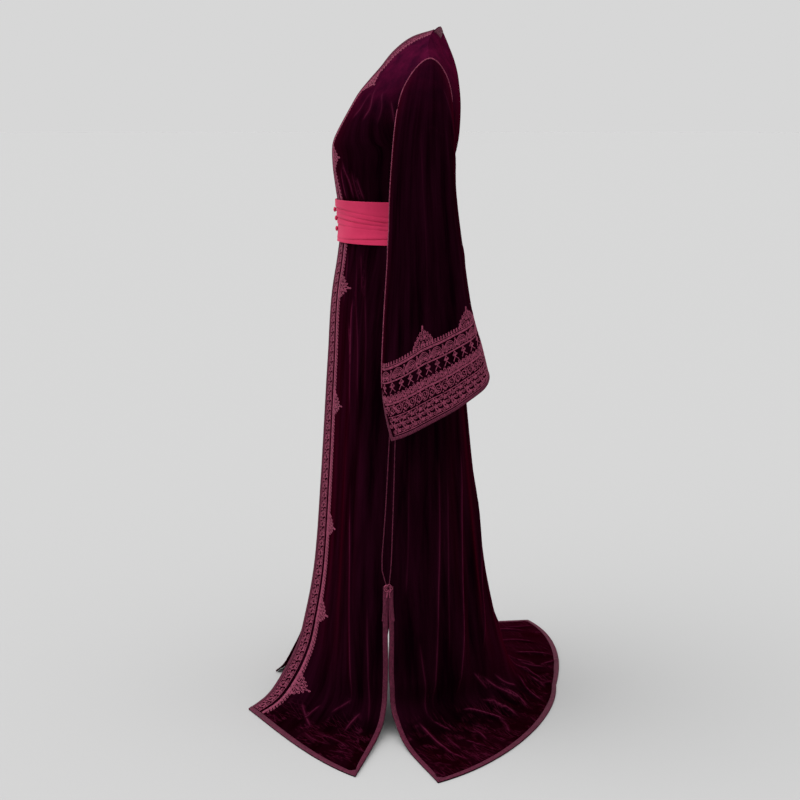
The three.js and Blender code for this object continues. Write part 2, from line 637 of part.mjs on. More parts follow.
// The points of one column: evenly spaced rows, then rows at given distances above the hem.
function sleeveColumn(degrees, aboveHem) {
  const last = SLEEVE.length - 1;
  const line = range(SLEEVE_STEPS + 1).map((n) => {
    const ring = (last * n) / SLEEVE_STEPS;
    return sleevePoint(ring, drawnBack(degrees, ring));
  });
  const lengths = [0];
  line.slice(1).forEach((point, n) => lengths.push(lengths[n] + point.distanceTo(line[n])));
  const total = lengths[SLEEVE_STEPS];
  const at = (distance) => {
    let k = 0;
    while (k < SLEEVE_STEPS - 1 && lengths[k + 1] < distance) k += 1;
    return line[k].clone().lerp(line[k + 1], (distance - lengths[k]) / (lengths[k + 1] - lengths[k]));
  };
  const plain = total - aboveHem[0];
  return [
    ...range(SLEEVE_ROWS).map((n) => at(mix(SLEEVE_START, plain, n / SLEEVE_ROWS))),
    ...aboveHem.map((distance) => at(total - distance)),
  ];
}

function sleeve(side) {
  const mirror = side === "left" ? 1 : -1;
  const braidTop = CUFF_BRAID + TRIM_SPACE;
  const bandTop = braidTop + CUFF_BAND;
  const edges = (low, space) => {
    const bandFoot = low + CUFF_BRAID + space;
    return [bandTop + CUFF_PEAK, bandTop, mix(bandFoot, bandTop, 0.5), bandFoot, low + CUFF_BRAID, low];
  };
  const aboveHem = edges(0, TRIM_SPACE);
  const aboveSlit = edges(CUFF_SLIT, SLIT_SPACE);
  const columns = range(SLEEVE_COLUMNS).map((j) =>
    sleeveColumn(ARMHOLE_STEP * j, j === FRONT_OF_SLEEVE ? aboveSlit : aboveHem),
  );
  const peakRow = SLEEVE_ROWS;
  const tipColumns = CUFF_PEAKS.map((n) => (FRONT_OF_SLEEVE + n) % SLEEVE_COLUMNS);
  const cloth = new Cloth(
    SLEEVE_ROWS + aboveHem.length,
    SLEEVE_COLUMNS,
    (i, j) => V(columns[j][i].x * mirror, columns[j][i].y, columns[j][i].z),
    {
      closed: true,
      inward: side === "left",
      flips: (i, j) => i === peakRow && tipColumns.includes((j + 1) % SLEEVE_COLUMNS),
    },
  );
  // Under each tip lies the lower triangle of the cell on either side of it.
  const peaks = tipColumns.flatMap((j) => [cloth.column(j - 1), j].map((k) => cloth.cell(peakRow, k)[1]));
  return { cloth, peaks, bandRow: peakRow + 1, braidRow: SLEEVE_ROWS + aboveHem.length - 2 };
}

// The armhole's piping lies over the seam, midway between the edges of the panels and of the sleeve.
function armholePiping(tubeCloth, front, back, side) {
  const half = SLEEVE_COLUMNS / 2;
  const off = VELVET / 2 + PIPING_CLEAR + PIPING;
  const points = range(SLEEVE_COLUMNS).map((j) => {
    const [panel, row] = j > half ? [front, SLEEVE_COLUMNS - j] : [back, j];
    const edge = panel === back && side === "right" ? 0 : panel.columns - 1;
    const panelNormal = panel.normals[row][edge];
    const outward = panelNormal.clone().add(tubeCloth.normals[0][j]).normalize();
    const middle = panel.points[row][edge].clone().lerp(tubeCloth.points[0][j], 0.5);
    return middle.addScaledVector(outward, off / outward.dot(panelNormal));
  });
  return tube(points, PIPING, { closed: true });
}

// ---------------------------------------------------------------- sash
const SASH_TOP = 1129;
const SASH_OFF_BODY = 6; // middle of the sash's cloth outside the middle of the velvet
const SASH_COLUMNS = 28;
// Pleats: how far each line lies below the top, and how far it stands out.
const SASH_LINES = [
  { drop: 0, out: 0 },
  { drop: 10, out: 2.4 },
  { drop: 21, out: 0.3 },
  { drop: 33, out: 2.8 },
  { drop: 45, out: 0.3 },
  { drop: 58, out: 3 },
  { drop: 70, out: 0.3 },
  { drop: 83, out: 2.6 },
  { drop: 92, out: 0 },
];

// The body's ring at a height, as its two left quarters, front and back.
const bodyNumbers = smoothTable(
  BODY.map(({ z }) => -z),
  BODY.map(({ front, back, sideX, sideY, full, prow }) => [front, back, sideX, sideY, full, prow]),
);
function bodyQuarters(z) {
  const [front, back, sideX, sideY, full, prow] = bodyNumbers(-z);
  const quarter = (innerY, slope) => {
    const ends = ringSection([0, innerY, z], [sideX, sideY, z], full, slope).map((point) => V(...point));
    return new THREE.CubicBezierCurve3(...ends);
  };
  return [quarter(front, prow), quarter(back, 0)];
}

function sash() {
  const quarter = SASH_COLUMNS / 4;
  const place = (i, j) => {
    const { drop, out } = SASH_LINES[i];
    const [front, back] = bodyQuarters(SASH_TOP - drop);
    // Columns go from the centre front round the left side to the centre back and on round the right.
    const mirror = j > 2 * quarter ? -1 : 1;
    const n = j > 2 * quarter ? SASH_COLUMNS - j : j;
    const curve = n <= quarter ? front : back;
    const share = n <= quarter ? n / quarter : 2 - n / quarter;
    const point = curve.getPointAt(share);
    const along = curve.getTangentAt(share);
    const outward = n <= quarter ? V(along.y, -along.x, 0) : V(-along.y, along.x, 0);
    point.addScaledVector(outward.normalize(), SASH_OFF_BODY + out);
    return V(point.x * mirror, point.y, point.z);
  };
  return new Cloth(SASH_LINES.length, SASH_COLUMNS, place, { closed: true, inward: true });
}

// Small covered buttons that close the sash at the centre front.
const BUTTON = { radius: 6, rim: 1.2, depth: 4.5, sides: 12, heights: [1106, 1087, 1064] };
function sashButton(height, sashFront) {
  const { radius, rim, depth, sides } = BUTTON;
  const profile = [[0, 0], [radius, 0], [radius, rim]];
  for (const degrees of [30, 60]) {
    const a = THREE.MathUtils.degToRad(degrees);
    profile.push([radius * Math.cos(a), rim + (depth - rim) * Math.sin(a)]);
  }
  profile.push([0, depth]);
  const geometry = new THREE.LatheGeometry(profile.map(([x, y]) => new THREE.Vector2(x, y)), sides);
  geometry.rotateX(Math.PI);
  geometry.translate(0, sashFront - GAP, height);
  return geometry;
}

// ---------------------------------------------------------------- knots at the tops of the slits
const KNOT = { ring: 7, cord: 2.2, turns: 12, clear: 1.4, drop: 4 };
// outset is how far a tab lies from the slit, in its own widths, and outward is its tilt in radians.
const TAB = { width: 11, length: 62, thick: 1.2, spread: 13, off: 7.5, drop: 6, outset: 0.6, outward: 0.12 };

// Half-way between the side edges of front and back at the top of the slit, and clear of the braids there.
function slitTop(front, back, side) {
  const frontEdge = front.raised(SLIT_ROW, SIDE_LINE + 1, 0);
  const backEdge = back.raised(SLIT_ROW, side === "left" ? back.columns - 1 : 0, 0);
  return frontEdge.lerp(backEdge, 0.5);
}

function knotRing(centre, mirror) {
  const off = VELVET / 2 + GAP + TRIM + KNOT.clear + KNOT.cord;
  const points = range(KNOT.turns).map((n) => {
    const a = (2 * Math.PI * n) / KNOT.turns;
    const [y, z] = [KNOT.ring * Math.cos(a), KNOT.ring * Math.sin(a) - KNOT.drop];
    return V(centre.x + mirror * off, centre.y + y, centre.z + z);
  });
  return tube(points, KNOT.cord, { closed: true });
}

// A braid tab that hangs from under the knot and leans away from the slit. lean is -1 for forward, 1 for back.
function knotTab(centre, mirror, lean) {
  const geometry = new THREE.BoxGeometry(TAB.thick, TAB.width, TAB.length);
  geometry.translate(0, lean * TAB.width * TAB.outset, -TAB.length / 2 - KNOT.ring - KNOT.cord);
  geometry.rotateX(lean * Math.atan(TAB.spread / TAB.length));
  geometry.rotateY(-mirror * TAB.outward);
  geometry.translate(centre.x + mirror * TAB.off, centre.y, centre.z - TAB.drop);
  return geometry;
}

// ---------------------------------------------------------------- the caftan
const cloth = (colour, roughness) => new THREE.MeshStandardMaterial({ color: colour, roughness, metalness: 0 });
const velvetCloth = () => cloth(0x2a0413, 0.9);
const cordTrim = () => cloth(0x7a2d45, 0.7);
const sashCloth = () => cloth(0xc4325c, 0.6);

const caftan = new THREE.Group();
caftan.name = "caftan";
caftan.position.set(0, -SHOULDER_SETBACK, -SHOULDER_HEIGHT);

function add(name, geometry, material) {
  const mesh = new THREE.Mesh(geometry, material);
  mesh.name = name;
  caftan.add(mesh);
}

// The back, with its hem braid, which also runs up both slits, and the braid across the back neck.
const back = backPanel();
const backEnd = back.cloth.columns - 1;
add("back", back.cloth.body(VELVET), velvetCloth());
add(
  "hem_braid_back",
  back.cloth.trim([
    ...back.cloth.block(back.hemRow, back.hemRow + 1, 0, backEnd),
    ...back.cloth.block(SLIT_ROW, back.hemRow, 0, 1),
    ...back.cloth.block(SLIT_ROW, back.hemRow, backEnd - 1, backEnd),
  ]),
  cordTrim(),
);
const neckColumns = [back.middle - NECK_COLUMNS, back.middle + NECK_COLUMNS];
add("neck_braid_back", back.cloth.trim(back.cloth.block(0, 1, ...neckColumns)), cordTrim());

// Each front with its braid, couched band, picot braid, hem braid and side cord.
const fronts = { left: frontPanel("left", FRONT_LEFT_FOOT), right: frontPanel("right", FRONT_RIGHT_FOOT) };
const SIDE_CORD_ROWS = [FRONT_TOP.length + 10, SLIT_ROW - 1];
for (const [side, { cloth: front, pointRows, hemRow }] of Object.entries(fronts)) {
  add(`front_${side}`, front.body(VELVET), velvetCloth());
  const trimEnd = hemRow - 1;
  add(`front_braid_${side}`, front.trim(front.block(0, trimEnd, LINE.edge, LINE.braidEnd)), cordTrim());
  add(`front_band_${side}`, front.trim(front.block(0, trimEnd, LINE.bandStart, LINE.bandEnd)), cordTrim());
  add(`front_picots_${side}`, front.trim(picotTriangles(front, pointRows, trimEnd)), cordTrim());
  add(
    `hem_braid_front_${side}`,
    front.trim([
      ...front.block(hemRow, hemRow + 1, 0, SIDE_LINE + 1),
      ...front.block(SLIT_ROW, hemRow, SIDE_LINE, SIDE_LINE + 1),
    ]),
    cordTrim(),
  );
  add(`side_cord_front_${side}`, front.piping(SIDE_LINE, ...SIDE_CORD_ROWS), cordTrim());
  const backColumn = side === "left" ? backEnd - 1 : 1;
  add(`side_cord_back_${side}`, back.cloth.piping(backColumn, ...SIDE_CORD_ROWS), cordTrim());
}

// Each sleeve with its piping, the cord down its front, the couched cuff and the cuff braid.
for (const side of ["left", "right"]) {
  const { cloth: tubeCloth, peaks, bandRow, braidRow } = sleeve(side);
  add(`sleeve_${side}`, tubeCloth.body(VELVET), velvetCloth());
  add(`armhole_piping_${side}`, armholePiping(tubeCloth, fronts[side].cloth, back.cloth, side), cordTrim());
  add(`sleeve_cord_${side}`, tubeCloth.piping(FRONT_OF_SLEEVE, 1, SLEEVE_ROWS), cordTrim());
  const band = tubeCloth.block(bandRow, braidRow - 1, 0, SLEEVE_COLUMNS);
  add(`cuff_band_${side}`, tubeCloth.trim([...band, ...peaks]), cordTrim());
  const braid = tubeCloth.block(braidRow, braidRow + 1, 0, SLEEVE_COLUMNS);
  add(`cuff_braid_${side}`, tubeCloth.trim(braid), cordTrim());
}

// The sash and its buttons.
const wrapped = sash();
add("sash", wrapped.body(SASH_CLOTH), sashCloth());
const sashFront = Math.min(...wrapped.points.map((line) => line[0].y)) - SASH_CLOTH / 2;
BUTTON.heights.forEach((height, n) => add(`sash_button_${n + 1}`, sashButton(height, sashFront), sashCloth()));

// A knot with two braid tabs at the top of each slit.
for (const [side, mirror] of [["left", 1], ["right", -1]]) {
  const centre = slitTop(fronts[side].cloth, back.cloth, side);
  add(`knot_${side}`, knotRing(centre, mirror), cordTrim());
  add(`knot_tab_front_${side}`, knotTab(centre, mirror, -1), cordTrim());
  add(`knot_tab_back_${side}`, knotTab(centre, mirror, 1), cordTrim());
}

export default caftan;
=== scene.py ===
# %% [markdown]
# # A long velvet caftan with couched cord
#
# This garment is cut from wine velvet: two fronts that meet edge to edge, one back with a train, and two
# wide sleeves. Flat braid binds every edge, thick cord is couched (laid on top and sewn down) into scrolls
# beside the front edges and round the cuffs, and a pleated crimson sash holds the waist.
#
# A fabric like this could be simulated, but a garment that hangs on a figure is mostly set by its cut and
# by a few long folds. So each panel is made as a net of points on a smooth form, the folds are added one
# by one, and each trim is laid on that same net. Nothing can then float off the cloth or sink into it.

# %% Load the imported part
import math
import bpy
import numpy as np
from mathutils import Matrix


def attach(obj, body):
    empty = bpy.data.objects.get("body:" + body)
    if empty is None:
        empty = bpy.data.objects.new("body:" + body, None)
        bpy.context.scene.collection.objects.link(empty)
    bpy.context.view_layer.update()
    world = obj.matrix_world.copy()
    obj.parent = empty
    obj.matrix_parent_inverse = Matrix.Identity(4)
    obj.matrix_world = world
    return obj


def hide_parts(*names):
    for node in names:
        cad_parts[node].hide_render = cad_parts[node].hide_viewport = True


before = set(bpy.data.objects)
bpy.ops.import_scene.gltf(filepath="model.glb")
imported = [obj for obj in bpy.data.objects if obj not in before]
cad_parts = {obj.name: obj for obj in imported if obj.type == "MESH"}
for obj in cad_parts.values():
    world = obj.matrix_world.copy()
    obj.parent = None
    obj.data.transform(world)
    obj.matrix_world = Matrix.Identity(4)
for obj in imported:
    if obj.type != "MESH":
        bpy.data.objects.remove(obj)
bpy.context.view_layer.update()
print("nodes in the packed part:", len(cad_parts))

# %% [markdown]
# ## Sizes and places
#
# A maker works in millimetres and measures heights from the floor, so the tables below do too. The part's
# origin lies between the shoulder seams, and one function turns floor millimetres into the part's metres.

# %% Driving sizes, in millimetres
SHOULDER_HEIGHT = 1455  # middle of a shoulder seam, above the floor
SHOULDER_SETBACK = 63  # how far the shoulder seams run behind the middle of the figure
VELVET = 2.0  # thickness of the pile cloth
EDGE_HALF_GAP = 2.0  # each front edge stops this far from the middle line
HEM_LIFT = 1.6  # middle of the cloth above the floor where it lies flat
FRONT_BRAID = 9.0
HEM_BRAID = 10.0
CUFF_BRAID = 8.0
CUFF_SLIT = 96.0  # the sleeve's front seam is left open this far above its hem


def place(points):
    """Floor millimetres to metres round the part's origin."""
    return (np.asarray(points, float) - (0, SHOULDER_SETBACK, SHOULDER_HEIGHT)) / 1000


# %% Small helpers for smooth numbers
def mix(a, b, t):
    return a + (b - a) * t


def ease(t):
    t = np.clip(t, 0, 1)
    return t * t * (3 - 2 * t)


def smooth_table(places, rows):
    """A smooth curve through rows of numbers at rising places, sloped at each by its two neighbours."""
    places, rows = np.asarray(places, float), np.asarray(rows, float)
    step = np.diff(places)[:, None]
    rise = np.diff(rows, axis=0) / step
    inner = (rise[:-1] * step[1:] + rise[1:] * step[:-1]) / (step[:-1] + step[1:])
    slopes = np.vstack([rise[:1], inner, rise[-1:]])

    def at(where):
        where = np.atleast_1d(np.asarray(where, float))
        k = np.clip(np.searchsorted(places, where) - 1, 0, len(places) - 2)
        size = step[k]
        t = (where - places[k])[:, None] / size
        start = 2 * t**3 - 3 * t**2 + 1
        leave = (t**3 - 2 * t**2 + t) * size
        arrive = (t**3 - t**2) * size
        return start * rows[k] + leave * slopes[k] + (1 - start) * rows[k + 1] + arrive * slopes[k + 1]

    return at


def unit(vectors):
    return vectors / np.maximum(np.linalg.norm(vectors, axis=-1, keepdims=True), 1e-9)


def bezier(ends, t):
    """Points of cubic curves. ends is (..., 4, 3), and t has the same shape without the last two."""
    s = 1 - t
    shares = np.stack([s**3, 3 * s * s * t, 3 * s * t * t, t**3], -1)
    return (shares[..., None] * ends).sum(-2)


# %% [markdown]
# ## The form of the body
#
# Each half panel is a stack of cross sections, and each section is one cubic curve from the panel's inner
# edge (the front opening or the centre back) to its outer edge (armhole, side seam or slit). The sections
# follow the cut: they are straight over the shoulder, round at the bust and waist, and swing out into a
# flat hem on the floor.

# %% Cross sections
ARMHOLE = dict(x=178, y=53, z=1338, lean_x=12, lean_y=10, half_height=93, half_width=53, hollow=11)
ARCH = 1.4  # 1 makes the upper half of the armhole half an ellipse, and more makes it a pointed arch
ARMHOLE_STEP = 18  # degrees round the armhole from one row of the table to the next


def arched(a):
    """Cosine and sine of a place round the armhole, drawn out to a point at the top."""
    c, s = np.cos(a), np.sin(a)
    power = np.where(c > 0, ARCH, 1)
    return np.sign(c) * np.abs(c) ** power, np.sign(s) * np.abs(s) ** power


def armhole(degrees):
    """0 is the shoulder tip, -90 the front of the armhole, +90 its back and 180 under the arm."""
    a = math.radians(degrees)
    rise, side = (float(value) for value in arched(a))
    return [
        ARMHOLE["x"] + ARMHOLE["lean_x"] * rise - ARMHOLE["hollow"] * math.sin(a) ** 2,
        ARMHOLE["y"] + ARMHOLE["lean_y"] * rise + ARMHOLE["half_width"] * side,
        ARMHOLE["z"] + ARMHOLE["half_height"] * rise,
    ]


def ring_section(inner, outer, full, prow=0.0):
    """A quarter of a ring round the body. full is 0.55 for an ellipse and more where the body is squarer.
    prow is the slope at which the cloth falls back from the front edges, which stand forward as a blunt
    ridge."""
    pull_y = inner[1] + prow * full * (outer[0] - inner[0])
    return [
        inner,
        [mix(inner[0], outer[0], full), pull_y, mix(inner[2], outer[2], 1 / 3)],
        [outer[0], mix(outer[1], inner[1], full), mix(inner[2], outer[2], 2 / 3)],
        outer,
    ]


def foot_section(inner, inner_pull, outer_pull, outer):
    return [
        inner,
        [*inner_pull, mix(inner[2], outer[2], 1 / 3)],
        [*outer_pull, mix(inner[2], outer[2], 2 / 3)],
        outer,
    ]


def armhole_section(inner, degrees):
    """Straight at the shoulder, and a ring round the body from the chest down."""
    outer = armhole(degrees)
    straight = np.array([mix(np.array(inner), np.array(outer), t) for t in (0, 1 / 3, 2 / 3, 1)])
    round_one = np.array(ring_section(inner, outer, mix(0.6, 0.66, abs(degrees) / 180)))
    return mix(straight, round_one, ease(abs(degrees) / 110)).tolist()


YOKE = [[0, 88, 1498], [60, 92, 1508], [104, 48, 1484], armhole(0)]  # back neck and shoulder seam, one curve
NECK_SHARE = 0.45  # the front begins this far along it


def later_part(section, share):
    points = np.array(section, float)
    once = mix(points[:-1], points[1:], share)
    twice = mix(once[:-1], once[1:], share)
    return [mix(twice[0], twice[1], share).tolist(), twice[1].tolist(), once[2].tolist(), section[3]]


# %% Tables of the cut
# Neck edge of the front and centre back of the back, from the shoulder to the level of the underarm: x, y, z.
FRONT_TOP = [
    (77, 22, 1474),
    (70, -14, 1446),
    (61, -42, 1412),
    (51, -66, 1385),
    (41, -88, 1358),
    (31, -106, 1328),
    (22, -122, 1300),
    (14, -134, 1278),
    (7, -142, 1261),
    (2, -146, 1247),
]
BACK_TOP = [
    (0, 93, 1488),
    (0, 106, 1458),
    (0, 117, 1430),
    (0, 125, 1400),
    (0, 129, 1370),
    (0, 131, 1342),
    (0, 131, 1315),
    (0, 130, 1290),
    (0, 128, 1267),
    (0, 125, 1247),
]
# Level rings from the bust to the top of the slit: height, front y, back y, side x, side y, fullness, prow.
BODY = [
    (1230, -147, 121, 162, 47, 0.66, 0.05),
    (1205, -146, 115, 155, 42, 0.65, 0.05),  # bust
    (1148, -139, 97, 139, 32, 0.6, 0.08),
    (1075, -129, 79, 127, 22, 0.57, 0.12),  # waist
    (1010, -136, 97, 146, 14, 0.56, 0.2),
    (930, -149, 126, 176, 4, 0.56, 0.3),  # hip
    (780, -160, 138, 204, -9, 0.56, 0.42),
    (500, -178, 161, 234, -20, 0.55, 0.55),  # knee
    (350, -189, 178, 249, -24, 0.55, 0.62),
    (320, -192, 182, 252, -25, 0.55, 0.64),  # top of the slit
]
# Below the slit each quarter of the skirt swings out on its own and ends flat on the floor.
FEET = {
    "front_left": [
        ring_section([42, -211, 210], [263, -26, 210], 0.52, 0.75),
        ring_section([58, -233, 128], [268, -26, 118], 0.5, 0.85),
        foot_section([82, -262, 74], [140, -208], [264, -128], [280, -30, 52]),
        foot_section([107, -298, 25], [184, -240], [326, -148], [342, -46, 13]),
        foot_section([138, -338, HEM_LIFT], [232, -287], [446, -192], [541, -90, HEM_LIFT]),
    ],
    "front_right": [
        ring_section([42, -210, 210], [263, -26, 210], 0.52, 0.75),
        ring_section([60, -228, 128], [268, -26, 118], 0.5, 0.85),
        foot_section([86, -251, 74], [142, -200], [262, -122], [280, -29, 52]),
        foot_section([110, -276, 25], [180, -226], [320, -140], [338, -42, 13]),
        foot_section([132, -295, HEM_LIFT], [222, -258], [436, -174], [541, -80, HEM_LIFT]),
    ],
    "back_left": [
        ring_section([0, 204, 210], [263, -23.6, 210], 0.52),
        ring_section([0, 238, 105], [268, -23, 105], 0.48),
        foot_section([0, 272, 34], [110, 264], [258, 110], [290, -14, 36]),
        foot_section([-12, 314, 6], [148, 298], [340, 160], [390, 14, 6]),
        foot_section([-30, 363, HEM_LIFT], [192, 351], [466, 226], [573, 76, HEM_LIFT]),
    ],
    "back_right": [
        ring_section([0, 204, 210], [264, -16, 210], 0.52),
        ring_section([0, 238, 105], [276, 20, 110], 0.48),
        foot_section([0, 272, 34], [110, 282], [285, 190], [318, 84, 70]),
        foot_section([12, 314, 6], [140, 332], [350, 300], [424, 210, 36]),
        foot_section([30, 363, HEM_LIFT], [170, 388], [400, 410], [553, 334, HEM_LIFT]),
    ],
}


def edge_swing(z):
    """The front edge swings away from the middle line below the thigh."""
    return EDGE_HALF_GAP + 30 * ease((800 - z) / 700) ** 2


def panel_sections(side):
    is_back = side.startswith("back")
    top = BACK_TOP if is_back else FRONT_TOP
    turn = 1 if is_back else -1
    found = [YOKE if is_back else later_part(YOKE, NECK_SHARE)]
    found += [armhole_section(list(inner), turn * ARMHOLE_STEP * (n + 1)) for n, inner in enumerate(top)]
    for z, front, back, side_x, side_y, full, prow in BODY:
        inner = [0, back, z] if is_back else [float(edge_swing(z)), front, z]
        found.append(ring_section(inner, [side_x, side_y, z], full, 0 if is_back else prow))
    return np.array(found + FEET[side], float)


# %% Soft folds that the cloth keeps all the way down
# place is the share of the way from the inner edge to the side, top and foot are heights where a fold
# begins and where it is deepest, width and depth are its size there.
FRONT_FOLDS = [
    dict(place=0.36, top=1000, foot=260, width=62, depth=8),
    dict(place=0.58, top=960, foot=300, width=58, depth=11),
    dict(place=0.78, top=900, foot=240, width=56, depth=10),
]
BACK_FOLDS = [
    dict(place=0.12, top=930, foot=260, width=70, depth=10),
    dict(place=0.36, top=980, foot=300, width=64, depth=13),
    dict(place=0.6, top=900, foot=240, width=70, depth=14),
    dict(place=0.8, top=950, foot=280, width=56, depth=10),
]
FOLD_END = 24  # height above the floor at which the folds have died out


def fold_lift(folds, share, width, height):
    lift = 0
    for fold in folds:
        away = (share - fold["place"]) * width / (fold["width"] / 2)
        grown = ease((fold["top"] - height) / (fold["top"] - fold["foot"]))
        fading = ease((height - FOLD_END) / (fold["foot"] - FOLD_END))
        lift = lift + fold["depth"] * grown * fading * np.exp(-(away**2))
    return lift


CHORDS = 64  # chords that measure the length of a section
SLOPE_STEP = 0.002  # part of a section on either side of a point, to find its direction there


def half_panel(side, downs, columns):
    """A net for half a panel: a row at each distance down the inner edge, columns at even shares across."""
    sections = panel_sections(side)
    folds = BACK_FOLDS if side.startswith("back") else FRONT_FOLDS
    turn = -1 if side.startswith("back") else 1
    steps = np.linalg.norm(np.diff(sections[:, 0], axis=0), axis=1)
    places = np.concatenate([[0], np.cumsum(steps)])
    rows = smooth_table(places, sections.reshape(len(sections), -1))(downs * places[-1]).reshape(-1, 4, 3)
    t = np.linspace(0, 1, CHORDS + 1)
    line = bezier(rows[:, None], np.broadcast_to(t, (len(rows), CHORDS + 1)))
    lengths = np.cumsum(np.linalg.norm(np.diff(line, axis=1), axis=2), axis=1)
    lengths = np.hstack([np.zeros((len(rows), 1)), lengths])
    widths = lengths[:, -1]
    share = np.linspace(0, 1, columns)
    where = np.array([np.interp(share * width, length, t) for width, length in zip(widths, lengths)])
    points = bezier(rows[:, None], where)
    ahead, behind = np.minimum(where + SLOPE_STEP, 1), np.maximum(where - SLOPE_STEP, 0)
    along = bezier(rows[:, None], ahead) - bezier(rows[:, None], behind)
    outward = unit(np.stack([along[..., 1], -along[..., 0], 0 * along[..., 0]], -1)) * turn
    lift = fold_lift(folds, share[None], widths[:, None], points[..., 2])
    return points + outward * lift[..., None], widths, places[-1]

# %% [markdown]
# ## Cloth as a net
#
# A net keeps the points on the middle of a cloth's wall and the direction square to it at each. Folds are
# soft ridges and troughs along listed lines. Everything that is sewn on the cloth asks the net for
# points at a place on it and at a height over it.

# %% The net
# Painted light: the chest and shoulders, from one height up, are painted a paler wine, as if lit from above.
# Cloth on the floor, from another height down, gets painted shade and breaks into fine creases.
TOP_LIGHT_FROM, TOP_LIGHT_RISE, TOP_LIGHT_MOST = 1265.0, 190.0, 0.9
FLOOR_MARKS_BELOW, FLOOR_MARKS_FALL = 45.0, 35.0
HIGHLIGHT_REACH = 8.0  # the painted highlight of a crease reaches this far from its line
HIGHLIGHT_FADE = 3.0  # and its mark fades over this much of that
MARKS = ("ridge_highlight", "away", "painted_top_light", "floor_shade_and_creases")
FAR_AWAY = 20.0  # the distance that is marked where there is no crease


class Net:
    """Rows run across the cloth and columns run down it. turn is 1 where across x down points away from the
    wearer, and closed joins the last column to the first."""

    def __init__(self, points, turn, closed=False):
        self.points, self.turn, self.closed = points, turn, closed
        self.rows, self.columns = points.shape[:2]
        self.ridge_highlight = np.zeros((self.rows, self.columns))
        self.away = np.full((self.rows, self.columns), FAR_AWAY)
        self.painted_top_light = TOP_LIGHT_MOST * ease((points[..., 2] - TOP_LIGHT_FROM) / TOP_LIGHT_RISE)
        self.floor_shade_and_creases = ease((FLOOR_MARKS_BELOW - points[..., 2]) / FLOOR_MARKS_FALL)
        self.find_normals()

    def find_normals(self):
        down = np.gradient(self.points, axis=0)
        if self.closed:
            across = np.roll(self.points, -1, axis=1) - np.roll(self.points, 1, axis=1)
        else:
            across = np.gradient(self.points, axis=1)
        self.normals = unit(np.cross(across, down)) * self.turn

    def sample(self, grid, row, column):
        row = np.clip(np.asarray(row, float), 0, self.rows - 1.001)
        i = row.astype(int)
        if self.closed:
            column = np.mod(np.asarray(column, float), self.columns)
            j = np.minimum(column.astype(int), self.columns - 1)
            after = (j + 1) % self.columns
        else:
            column = np.clip(np.asarray(column, float), 0, self.columns - 1.001)
            j = column.astype(int)
            after = j + 1
        u, v = (column - j)[..., None], (row - i)[..., None]
        upper = mix(grid[i, j], grid[i, after], u)
        lower = mix(grid[i + 1, j], grid[i + 1, after], u)
        return mix(upper, lower, v)

    def at(self, row, column, off=0.0):
        """Points over the middle of the cloth by a distance. row and column may lie between two lines."""
        off = np.asarray(off, float)[..., None]
        return self.sample(self.points, row, column) + unit(self.sample(self.normals, row, column)) * off

    def nearest(self, spots):
        """The row and column nearest to each spot."""
        nearest = [int(np.argmin(((self.points - spot) ** 2).sum(-1))) for spot in np.array(spots, float)]
        return np.array([divmod(k, self.columns) for k in nearest], float)

    def crease(self, spots, width, depth, ridge_highlight=0.0, start=0.25, end=0.25):
        """Lifts the cloth along a line through spots, or sinks it where depth is below 0, and paints a pale
        highlight along it. start and end are the shares of the line over which it grows and fades."""
        path = self.nearest(spots)
        t = np.linspace(0, 1, len(path))
        fine = np.linspace(0, 1, 6 * len(path))
        curve = smooth_table(t, path)(fine) if len(path) > 2 else mix(path[0], path[1], fine[:, None])
        line = self.at(curve[:, 0], curve[:, 1])
        best = np.full(self.points.shape[:2], np.inf)
        along, turned = np.zeros_like(best), np.zeros_like(best)
        for k in range(len(line) - 1):
            step = line[k + 1] - line[k]
            share = np.clip(((self.points - line[k]) @ step) / max(step @ step, 1e-9), 0, 1)
            offset = self.points - line[k] - share[..., None] * step
            away = np.linalg.norm(offset, axis=2)
            closer = away < best
            best = np.where(closer, away, best)
            along = np.where(closer, mix(fine[k], fine[k + 1], share), along)
            turned = np.where(closer, np.sign((np.cross(step, offset) * self.normals).sum(-1)), turned)
        fade = ease(along / start) * ease((1 - along) / end)
        lift = depth * fade * np.exp(-((best / width) ** 1.7))
        self.points = self.points + self.normals * lift[..., None]
        # The finish draws the painted highlight line itself from the distance to it, which is kept with its
        # sign.
        nearer = (ridge_highlight > 0) & (best < np.abs(self.away))
        self.away = np.where(nearer, turned * best, self.away)
        marked = ridge_highlight * fade * ease((HIGHLIGHT_REACH - best) / HIGHLIGHT_FADE)
        self.ridge_highlight = np.where(nearer, marked, self.ridge_highlight)


# %% Meshes
def add_piece(name, points, faces, material, uv=None, crease_angle=50, marks=None):
    """A mesh object from floor millimetres. uv gives a texture place in metres for each point, and each
    of marks is a number at each point under a name, which the finish reads."""
    mesh = bpy.data.meshes.new(name)
    mesh.from_pydata(place(points).tolist(), [], faces)
    if uv is not None:
        corners = np.empty(len(mesh.loops), int)
        mesh.loops.foreach_get("vertex_index", corners)
        mesh.uv_layers.new(name="cloth").data.foreach_set("uv", np.asarray(uv, np.float32)[corners].ravel())
    for mark, values in (marks or {}).items():
        values = np.asarray(values, np.float32).ravel()
        mesh.attributes.new(mark, "FLOAT", "POINT").data.foreach_set("value", values)
    mesh.materials.append(material)
    mesh.shade_smooth()
    mesh.set_sharp_from_angle(angle=math.radians(crease_angle))
    mesh.update()
    piece = bpy.data.objects.new(name, mesh)
    bpy.context.collection.objects.link(piece)
    return piece


def show(piece, slot, *nodes):
    """The piece moves with the part and stands for its CAD solids. slot is not used."""
    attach(piece, "root")
    if nodes:
        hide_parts(*nodes)
    triangles = sum(len(face.vertices) - 2 for face in piece.data.polygons)
    print(f"{piece.name}: {triangles} triangles")
    return piece


